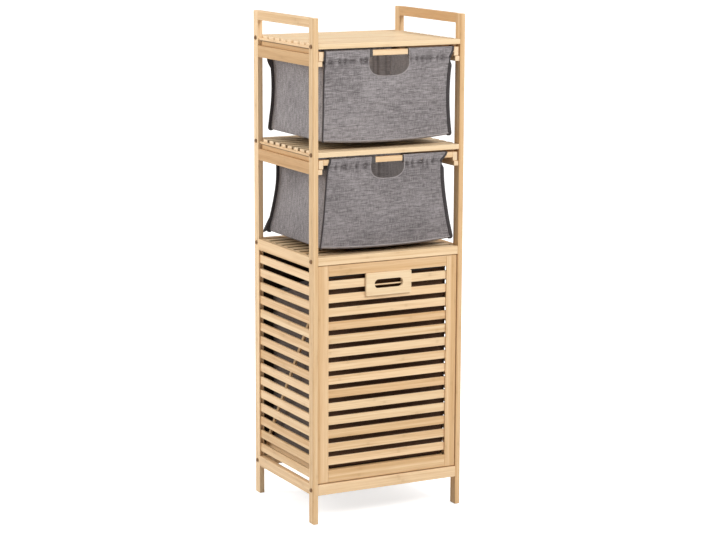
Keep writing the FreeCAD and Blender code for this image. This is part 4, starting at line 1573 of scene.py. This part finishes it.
    def binding_patches(self, cloth: dict[str, Patch]) -> list[Patch]:
        """Dark tape along the upright seams, the side panels' upper edges and the sleeves' outer ends: a flat
        ellipse carried along each edge.

        Args:
            cloth: The bin's panels.

        Returns:
            The tapes.
        """
        tapes = []
        for side in Side:
            for end in End:
                path = self.seam(side, end)
                out = unit(repeated((side.facing, self.binding_turn * end.facing, 0.0), len(path)))
                drop = self.top - path[:, 2] - self.stitch - self.binding_start
                grown = np.clip(drop / self.binding_growth, self.binding_least, 1.0)
                grown = grown * (self.tucked_share if (side, end) == (Side.LEFT, End.FRONT) else 1.0)
                centre = path + out * self.binding_stand * grown[:, None]
                tapes.append(tube(centre, out, self.binding_reach * grown, self.binding_half))
            edge = cloth[side].points[0]
            up = repeated((0.0, 0.0, 1.0), len(edge))
            tapes.append(tube(edge, up, self.binding_reach, self.binding_half))
        ends = [("left_sleeve", 0), ("right_sleeve", -1), ("rear_sleeve", 0), ("rear_sleeve", -1)]
        for name, column in ends:
            loop = cloth[name].points[:, column]
            tapes.append(tube(loop, repeated((1.0, 0.0, 0.0), len(loop)), *self.sleeve_tape))
        return tapes

    def edging_patches(self, cloth: dict[str, Patch]) -> list[Patch]:
        """The rolled edge of the hand opening and the folded edge of the front foot: a thin rod along the
        dip, round both sleeves' inner ends, and along the foot.

        Args:
            cloth: The bin's panels.

        Returns:
            The rods.
        """
        dip = cloth["front"].points[0, self.hem_columns - 1 : -self.hem_columns + 1]
        paths = [dip, cloth["left_sleeve"].points[:, -1], cloth["right_sleeve"].points[:, 0]]
        paths.append(cloth["front"].points[self.rows - 1])
        size = (self.edging, self.edging, self.edging_sides)
        return [tube(path, repeated(self.edging_aim, len(path)), *size) for path in paths]

    def cuff_patches(self) -> list[Patch]:
        """Dark bands of painted shade round the bar inside the sleeves' inner ends, where the turned-in
        sleeves
        fall in shade: a thin closed strip, bent over the bar and carried from the cut to the bare grip.

        Returns:
            The bands and their ends.
        """
        low, high = self.bars[End.FRONT]
        turn, count = self.cuff_round, self.cuff_points
        shade_bands = []
        for start, end in zip(self.form.cut_ends, self.form.grip_ends):
            inside = start - self.cuff_tuck * np.sign(end - start)
            lines = []
            for skin in self.cuff_skins:
                near, far, top = low.y - skin, high.y + skin, high.z + skin
                corners = [(far, low.z - turn), (far, top - turn), (far, top), (far - turn, top)]
                corners += [(near + turn, top), (near, top), (near, top - turn)]
                corners.append((near, low.z - self.cuff_drop))
                lines.append(even_path(round_path(np.array(corners), rounds=2), count))
            loop = np.concatenate([lines[0], lines[1][::-1], lines[0][:1]])
            across = np.linspace(inside, end, self.cuff_columns)
            x, row = np.meshgrid(across, np.arange(len(loop)))
            points = np.stack([x, loop[row, 0], loop[row, 1]], -1)
            shade_bands.append(Patch(points, np.stack([x, row * turn], -1)))
            for x_end in (inside, end):
                rim = np.stack([np.full((2, count), x_end), *np.moveaxis(np.stack(lines), -1, 0)], -1)
                shade_bands.append(Patch(rim, rim[..., (0, 2)]))
        return shade_bands

    def tail_patches(self) -> list[Patch]:
        """Loose ears of tape: each stands out from its seam by a width that swells and tapers along it.

        Returns:
            The ears.
        """
        rows, columns = self.ear_grid
        run = np.linspace(0.0, 1.0, rows)
        share = np.linspace(0.0, 1.0, columns)[None, :, None]
        ears = []
        for tail in self.form.tails:
            drop = blend(tail.high, tail.low, run)
            x, y = self.read(f"rear_{tail.side}", drop), self.read("rear_y", drop)
            seam = np.stack([x, y, self.top - drop], 1)
            width = tail.reach * run**tail.swell * (1 - run) ** tail.taper * self.ear_fullness
            points = seam[:, None] + share * width[:, None, None] * unit(np.array(tail.aim))
            ears.append(Patch(points, points[..., (1, 2)]))
        return ears

    def stitch_patches(self, cloth: dict[str, Patch]) -> list[Patch]:
        """Thread along the stitch lines: short rounded rods set end to end on the cloth.

        Args:
            cloth: The bin's panels.

        Returns:
            The stitches.
        """
        angle = np.linspace(0.0, 2 * math.pi, self.thread_sides + 1)
        along, size = (np.array(part)[:, None] for part in (self.STITCH_ALONG, self.STITCH_SIZE))
        length = np.repeat(along * self.stitch_half, len(angle), axis=1)
        wide, high = (size * turn * self.thread_half for turn in (np.cos(angle), np.sin(angle)))
        shape = np.stack([length, wide, high], -1)
        hem, front = self.hem_columns, cloth["front"].points[0]
        lines = [(front[:hem], End.FRONT), (front[-hem:], End.FRONT), (cloth["rear"].points[0], End.REAR)]
        found = []
        for line, end in lines:
            spots = even_path(line, int(path_length(line)[-1] / self.stitch_pitch))[1:-1]
            first = unit(np.gradient(spots, axis=0))
            second = repeated((0.0, end.facing, 0.0), len(spots))
            second = unit(second - first * np.sum(first * second, axis=1, keepdims=True))
            places = spots + second * self.thread_half
            found += copies(shape, shape[..., :2], places, first, second, np.cross(first, second))
        return found

    def build(self, effects: Effects) -> None:
        """Make the bin and its trims, and hang them on the drawer.

        Args:
            effects: The shared effects.
        """
        cloth = self.cloth_patches()
        name = f"{self.drawer}_bin"
        bag = new_piece(f"{name}_cloth", list(cloth.values()))
        give_wall(bag, self.wall, lining=1)
        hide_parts(f"{self.drawer}_bin")
        trims = [
            (bag, self.finish, "grey_fabric"),
            (new_piece(f"{name}_binding", self.binding_patches(cloth)), BINDING, "dark_fabric"),
            (new_piece(f"{name}_edging", self.edging_patches(cloth)), EDGE_CLOTH, "grey_fabric"),
            (new_piece(f"{name}_stitches", self.stitch_patches(cloth), FINE_WELD), THREAD_AND_SHADE_CLOTH, "dark_fabric"),
            # Bands of painted shade inside the sleeves' ends.
            (new_piece(f"{name}_cuffs", self.cuff_patches()), THREAD_AND_SHADE_CLOTH, "dark_fabric"),
            (new_piece(f"{name}_tape_ears", self.tail_patches()), BINDING, "dark_fabric"),
        ]
        give_wall(trims[-1][0], self.wall)
        for number, (piece, finish, slot) in enumerate(trims):
            piece.data.materials.append(finish.material(effects, float(self.seed * SOFT_SEEDS + number)))
            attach(piece, f"{self.drawer}_drawer")
            LOG.info("built %s", piece.name)
        # The inner face: the lining, with its painted glow.
        bag.data.materials.append(LINING.material(effects, float(self.seed)))


@dataclass
class Drawer:
    """One drawer: its bamboo frame, its runners, its base board and its bin."""

    name: str
    form: BinForm
    cloth: ClothFinish
    seed: int
    seed_start: float = 400.0
    seed_step: float = 29.0

    def build(self, effects: Effects) -> None:
        """Dress the drawer's frame and make its bin.

        Args:
            effects: The shared effects.
        """
        pair = (Grain.Y_ACROSS_X, PAIR_PITCH, -PAIR_PITCH)
        sticks = [Stick(f"{self.name}_drawer_{row}", *pair) for row in ("runners", "side_bars")]
        sticks += [Stick(f"{self.name}_drawer_{end}_bar", Grain.X_ACROSS_Z) for end in End]
        for number, stick in enumerate(sticks):
            finish = PALE_BAMBOO if stick.node.endswith("front_bar") else BAMBOO
            seed = self.seed_start + self.seed_step * self.seed + number
            dress_stick(stick.node, finish.material(effects, stick, seed))
        put_on(f"{self.name}_bin_base_board", FIBREBOARD.material(effects))
        FabricBin(self.name, self.form, self.cloth, self.seed).build(effects)


@dataclass
class LaundryBag:
    """The dark bag behind the door: a soft shell with a bound rim that falls towards the back."""

    FOLD_WAVES: ClassVar[tuple[float, ...]] = (0.155, 0.093, 0.061)
    RIM_WAVES: ClassVar[tuple[float, ...]] = (0.21, 0.12)

    seed: int = 21
    wall: float = 0.0014
    inset: float = 0.0006
    corner: float = 0.004
    rows: int = 56
    columns: int = 240
    bow: float = 0.007
    fold: float = 0.0022
    rim_fall: float = 0.090
    foot_round: float = 0.012
    face_share: float = 0.98
    bow_power: float = 0.8
    fold_growth: float = 2.0
    rim_wave: float = 0.002
    # Painted shade on the bag's front face: its strength, and where it starts and fades across the outline.
    front_shade: float = 0.85
    front_from: float = 0.9
    front_span: float = 0.1
    flare: float = 0.0034
    flare_from: float = 0.2
    flare_span: float = 1.2
    flare_rise: float = 0.3
    foot_rows: int = 6
    floor_rows: int = 11
    tape_drop: float = 0.004
    tape_reach: float = 0.0055
    tape_half: float = 0.0016

    def outline(self) -> Array:
        """A rounded rectangle of half sides one and one, its corners cut by the given radius.

        Returns:
            Points evenly spaced round the bag, back to the first again.
        """
        low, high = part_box("laundry_bag")
        half = np.array([(high.x - low.x) / 2, (high.y - low.y) / 2])
        cut = self.corner / half
        corners = []
        for sx, sy, turned in ((1, -1, False), (1, 1, True), (-1, 1, False), (-1, -1, True)):
            pair = [(sx * (1 - cut[0]), sy), (sx, sy), (sx, sy * (1 - cut[1]))]
            corners += pair[::-1] if turned else pair
        loop = np.array([*corners, corners[0]]) * half
        return even_path(round_path(loop), self.columns + 1) / half

    def surface(self) -> tuple[Patch, Array]:
        """The bag: the outline carried up to the sloping rim, its walls bowed inwards between the corners and
        folded more towards the rim, its front corners spread, its foot turned in to a closed floor, and
        painted shade on its front face.

        Returns:
            The shell and its rim.
        """
        low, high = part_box("laundry_bag")
        loop = self.outline()
        half = np.array([(high.x - low.x) / 2, (high.y - low.y) / 2]) - self.inset
        centre = np.array([(low.x + high.x) / 2, (low.y + high.y) / 2])
        run = np.linspace(0.0, 1.0, self.rows)[:, None]
        wide, deep = np.abs(loop[:, 0]), np.abs(loop[:, 1])
        middle = 1 - np.maximum(wide * (deep > self.face_share), deep * (wide > self.face_share))
        middle = np.sin(np.clip(middle, 0.0, 1.0) * math.pi / 2)
        around = loop * half
        length = path_length(around)
        turns = ripple(length, self.seed, self.FOLD_WAVES) * np.clip(middle * self.fold_growth, 0.0, 1.0)
        bowed = self.bow * middle[None] * np.sin(math.pi * run**self.bow_power)
        inwards = bowed + self.fold * (1 + turns[None]) * run**2 * middle[None]
        face = np.where((wide > deep)[:, None], np.array([[1.0, 0.0]]), np.array([[0.0, 1.0]]))
        push = np.sign(loop) * face
        plan = centre + around[None] - inwards[..., None] * push[None]
        forward = np.clip((self.flare_from - loop[:, 1]) / self.flare_span, 0.0, 1.0) ** 2
        risen = np.sin(np.clip(run / self.flare_rise, 0.0, 1.0) * math.pi / 2) ** 2
        plan[..., 0] += self.flare * loop[None, :, 0] * forward[None] * risen
        waves = self.rim_wave * ripple(length, self.seed + 1, self.RIM_WAVES)
        rim = high.z - self.rim_fall * (loop[:, 1] + 1) / 2 + waves
        floor = low.z + self.inset
        z = blend(floor + self.foot_round, rim[None], run)
        body = np.concatenate([plan, z[..., None]], -1)
        angle = np.linspace(math.pi / 2, 0.0, self.foot_rows + 1)[:-1]
        tuck = 1 - self.foot_round * (1 - np.cos(angle))[:, None, None] / half
        turn = np.concatenate([centre + around[None] * tuck, np.zeros((len(angle), len(loop), 1))], -1)
        turn[..., 2] = (floor + self.foot_round * (1 - np.sin(angle)))[:, None]
        inner = np.linspace(0.0, 1.0, self.floor_rows + 1)[:-1][:, None, None]
        base = centre + around[None] * tuck[:1] * inner
        base = np.concatenate([base, np.full((*base.shape[:2], 1), floor)], -1)
        points = np.concatenate([base, turn, body])
        flat = np.stack(np.meshgrid(length, path_length(points[:, 0])), -1)
        # Painted shade on the bag's front face, fading out towards the corners.
        front = np.clip((-self.front_from - loop[:, 1]) / self.front_span, 0.0, 1.0)
        shade = self.front_shade * np.repeat(front[None], len(points), axis=0)
        return Patch(points, flat, shade), points[-1]

    def build(self, effects: Effects) -> None:
        """Make the bag and its rim tape, and set them on the door's carrier.

        Args:
            effects: The shared effects.
        """
        shell, rim = self.surface()
        bag = new_piece("laundry_bag_cloth", [shell])
        give_wall(bag, self.wall)
        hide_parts("laundry_bag")
        up = repeated((0.0, 0.0, 1.0), len(rim))
        band = tube(rim - up * self.tape_drop, up, self.tape_reach, self.tape_half)
        tape = new_piece("laundry_bag_rim", [band])
        for number, (piece, finish) in enumerate(((bag, BAG_CLOTH), (tape, BINDING))):
            piece.data.materials.append(finish.material(effects, float(self.seed * SOFT_SEEDS + number)))
            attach(piece, "tilt_door")
            LOG.info("built %s", piece.name)


@dataclass
class HandlePlate:
    """The door's handle: a plate with rounded corners, eased edges and a long grip hole."""

    corner: float = 0.003
    grip_length: float = 0.076
    grip_height: float = 0.0215
    ease: float = 0.0013
    around: int = 480
    turn_points: int = 6
    corner_points: int = 16
    tone: float = 0.08
    seed: float = 900.0

    def loop(self, half_x: float, half_z: float, corner: float) -> Array:
        """An upright rounded rectangle of evenly spaced points.

        Args:
            half_x: Half its width.
            half_z: Half its height.
            corner: Radius of its corners.

        Returns:
            Points in X and Z, from the middle of its right side round to there again.
        """
        start = np.array([[half_x, 0.0]])
        corners = rounded_box(half_x, half_z, corner, self.corner_points)
        return even_path(np.concatenate([start, corners, start]), self.around + 1)

    def ring(self, outer: Array, hole: Array, front_y: float, back_y: float) -> Patch:
        """A board with a hole: a closed ring of section points between outline and hole, with a quarter round
        at each of the four edges, carried round both loops together.

        Args:
            outer: Loop of its outline.
            hole: Loop of its hole, with as many points.
            front_y: Where its front face is.
            back_y: Where its back face is.

        Returns:
            The surface.
        """
        bend = np.linspace(0.0, math.pi / 2, self.turn_points)
        inset = self.ease * (1 - np.cos(bend))
        deep = self.ease * (1 - np.sin(bend))
        front = np.stack([inset, front_y + deep], 1)
        back = np.stack([inset, back_y - deep], 1)
        passes = [(outer, -1.0, (front,)), (hole, 1.0, (front[::-1], back))]
        passes.append((outer, -1.0, (back[::-1], front[:1])))
        rings = []
        for edge, side, rows in passes:
            along = unit(np.gradient(np.concatenate([edge[-2:-1], edge, edge[1:2]]), axis=0)[1:-1])
            out = np.stack([along[:, 1], -along[:, 0]], 1)
            for shift, y in np.concatenate(rows):
                plan = edge + side * shift * out
                rings.append(np.stack([plan[:, 0], np.full(len(edge), y), plan[:, 1]], 1))
        points = np.stack(rings)
        return Patch(points, points[..., (0, 2)])

    def surface(self) -> Patch:
        """The plate: a rounded outline round a grip hole with round ends.

        Returns:
            The surface.
        """
        low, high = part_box("handle_plate")
        middle = np.array([(low.x + high.x) / 2, (low.z + high.z) / 2])
        outer = middle + self.loop((high.x - low.x) / 2, (high.z - low.z) / 2, self.corner)
        hole = middle + self.loop(self.grip_length / 2, self.grip_height / 2, self.grip_height / 2)
        return self.ring(outer, hole, low.y, high.y)

    def slat_behind(self, node: str, level: float, height: float, lip: float) -> Patch:
        """The slat behind the plate: cut away across the grip hole from its lip up to the hole's top.

        Args:
            node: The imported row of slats.
            level: Height of the slat's middle.
            height: Height of the slat.
            lip: Height of what stays below the cut.

        Returns:
            The surface.
        """
        low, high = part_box(node)
        plate_low, plate_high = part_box("handle_plate")
        foot = level - height / 2 + lip
        top = (plate_low.z + plate_high.z + self.grip_height) / 2
        outer = np.array([0.0, level]) + self.loop(high.x, height / 2, self.ease / 2)
        hole = self.loop(self.grip_length / 2, (top - foot) / 2, self.corner)
        hole = np.array([0.0, (foot + top) / 2]) + hole
        return self.ring(outer, hole, low.y, high.y)

    def build(self, effects: Effects) -> None:
        """Make the plate and fix it to the door.

        Args:
            effects: The shared effects.
        """
        plate = new_piece("handle_plate_eased", [self.surface()])
        stick = Stick("handle_plate", Grain.X_ACROSS_Z, tone=self.tone)
        plate.data.materials.append(PALE_BAMBOO.material(effects, stick, self.seed))
        even_shading(plate)
        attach(plate, "tilt_door")
        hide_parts("handle_plate")
        LOG.info("built %s", plate.name)


@dataclass
class TiltDoor:
    """The slatted door, its handle plate, the carrier behind it and the bag."""

    slat_height: float = 0.0201
    slat_pitch: float = 0.03273
    slat_start: float = 0.1332
    carrier_pitch: float = 0.1
    carrier_start: float = -0.15
    brace_lean: float = math.radians(55.6)
    left_tone: float = 0.4
    seed_start: float = 700.0
    seed_step: float = 13.0

    def build(self, effects: Effects) -> None:
        """Dress the door and its carrier, and make the bag.

        Args:
            effects: The shared effects.
        """
        plate = HandlePlate()
        sticks = [Stick("door_left_stile", Grain.Z_ACROSS_X, tone=self.left_tone)]
        sticks.append(Stick("door_right_stile", Grain.Z_ACROSS_X))
        sticks += [Stick(f"door_{place}_rail", Grain.X_ACROSS_Z) for place in ("top", "bottom")]
        sticks.append(Stick("door_slats", Grain.X_ACROSS_Z, self.slat_pitch, self.slat_start))
        sticks.append(Stick("carrier_slats", Grain.X_ACROSS_Y, self.carrier_pitch, self.carrier_start))
        for side in Side:
            sticks.append(Stick(f"carrier_{side}_arm", Grain.Y_ACROSS_Z))
            sticks.append(Stick(f"carrier_{side}_brace", Grain.Y_ACROSS_Z, lean=self.brace_lean))
        for number, stick in enumerate(sticks):
            # The braces take the pale finish: painted light, lifting them in the shade inside the cabinet.
            finish = PALE_BAMBOO if stick.node.endswith("brace") else BAMBOO
            material = finish.material(effects, stick, self.seed_start + self.seed_step * number)
            if stick.node == "door_slats":
                SlatRow(stick, "tilt_door", self.slat_height).build(material, plate)
            else:
                dress_stick(stick.node, material)
        put_on("catch_plate", BRIGHT_STEEL.material(effects))
        plate.build(effects)
        LaundryBag().build(effects)


@dataclass(frozen=True)
class Lamp:
    """A large round lamp that faces the cabinet."""

    name: str
    spot: tuple[float, float, float]
    size: float
    power: float
    aim: tuple[float, float, float] = (0.0, 0.0, 0.6)

    def build(self) -> None:
        """Hang the lamp where no camera sees it."""
        lamp = bpy.data.lights.new(self.name, "AREA")
        lamp.shape = "DISK"
        lamp.size = self.size
        lamp.energy = self.power
        holder = bpy.data.objects.new(self.name, lamp)
        bpy.context.scene.collection.objects.link(holder)
        holder.location = self.spot
        holder.visible_camera = False
        way = Vector(self.aim) - Vector(self.spot)
        holder.rotation_euler = way.to_track_quat("-Z", "Y").to_euler()


@dataclass
class Studio:
    """A pale floor, soft light and the camera."""

    LAMPS: ClassVar[tuple[Lamp, ...]] = (
        Lamp("left_lamp", (-2.5, 1.1, 1.7), 1.4, 44.0),
        Lamp("front_lamp", (1.2, -3.8, 3.7), 1.8, 152.0),
        Lamp("right_lamp", (2.9, 1.7, 1.9), 1.6, 30.0),
    )

    floor_half: float = 60.0
    floor_drop: float = 0.0005
    floor_colour: Colour = (0.66, 0.65, 0.64)
    floor_cloud: float = 0.985
    floor_rough: float = 0.7
    floor_specular: float = 0.2
    floor_glow: float = 0.72
    sky: tuple[float, float] = (0.02, 1.02)
    sky_rise: tuple[float, float] = (0.12, 0.78)
    camera_spot: tuple[float, float, float] = (-2.40837, -4.62687, 1.54622)
    yaw: float = 27.512
    pitch: float = 10.563
    roll: float = 0.207
    focal_pixels: float = 2177.8
    image_width: float = 716.0
    sensor: float = 36.0
    sight: float = 200.0

    def floor(self) -> None:
        """A wide flat floor."""
        line = np.linspace(-self.floor_half, self.floor_half, 2)
        x, y = np.meshgrid(line, line)
        points = np.stack([x, y, 0 * x - self.floor_drop], -1)
        piece = new_piece("studio_floor", [Patch(points, points[..., :2])])
        if piece.data.polygons[0].normal.z < 0:
            piece.data.flip_normals()
        material, w, shader = empty_material("floor_paint")
        cloud = w.noise(w.put("ShaderNodeTexCoord").outputs["Object"], detail=2.0)
        low = tuple(self.floor_cloud * part for part in self.floor_colour)
        w.feed(shader.inputs["Base Color"], w.mix(cloud, self.floor_colour, low))
        set_sockets(shader, {"Roughness": self.floor_rough, "Specular IOR Level": self.floor_specular})
        shader.inputs["Emission Color"].default_value = WHITE
        seen = w.put("ShaderNodeLightPath").outputs["Is Camera Ray"]
        w.feed(shader.inputs["Emission Strength"], w.times(seen, self.floor_glow))
        piece.data.materials.append(material)

    def light(self) -> None:
        """A sky that is brighter overhead, with a white backdrop, and large soft lamps on three sides."""
        world = bpy.data.worlds.new("studio_sky")
        world.use_nodes = True
        shade = world.node_tree.nodes["Background"]
        shade.inputs["Color"].default_value = WHITE
        w = Wiring(world.node_tree)
        aim = w.put("ShaderNodeTexCoord").outputs["Generated"]
        up = w.put("ShaderNodeSeparateXYZ", {0: aim}).outputs[2]
        backdrop = w.put("ShaderNodeLightPath").outputs["Is Camera Ray"]
        w.feed(shade.inputs["Strength"], w.math("MAXIMUM", w.ramp(up, *self.sky_rise, *self.sky), backdrop))
        bpy.context.scene.world = world
        for lamp in self.LAMPS:
            lamp.build()

    def camera(self) -> None:
        """The photograph's view: turned to the right, tilted down."""
        lens = bpy.data.cameras.new("studio_camera")
        lens.sensor_fit = "HORIZONTAL"
        lens.sensor_width = self.sensor
        lens.lens = self.focal_pixels / self.image_width * self.sensor
        lens.clip_end = self.sight
        holder = bpy.data.objects.new("studio_camera", lens)
        bpy.context.scene.collection.objects.link(holder)
        turn = Matrix.Rotation(-math.radians(self.yaw), 4, "Z")
        tilt = Matrix.Rotation(math.pi / 2 - math.radians(self.pitch), 4, "X")
        level = Matrix.Rotation(math.radians(self.roll), 4, "Z")
        holder.matrix_world = Matrix.Translation(self.camera_spot) @ turn @ tilt @ level
        bpy.context.scene.camera = holder

    def build(self) -> None:
        """Set the stage."""
        bpy.context.scene.view_settings.view_transform = "Standard"
        self.floor()
        self.light()
        self.camera()


def main() -> None:
    """Build the cabinet's looks in order, and report each piece."""
    logging.basicConfig(level=logging.INFO, format="%(name)s: %(message)s")
    effects = Effects()
    Carcass().dress(effects)
    Bolts().build(effects)
    Drawer("upper", UPPER_FORM, UPPER_CLOTH, seed=1).build(effects)
    Drawer("lower", LOWER_FORM, LOWER_CLOTH, seed=2).build(effects)
    TiltDoor().build(effects)
    Studio().build()


if __name__ == "__main__":
    main()
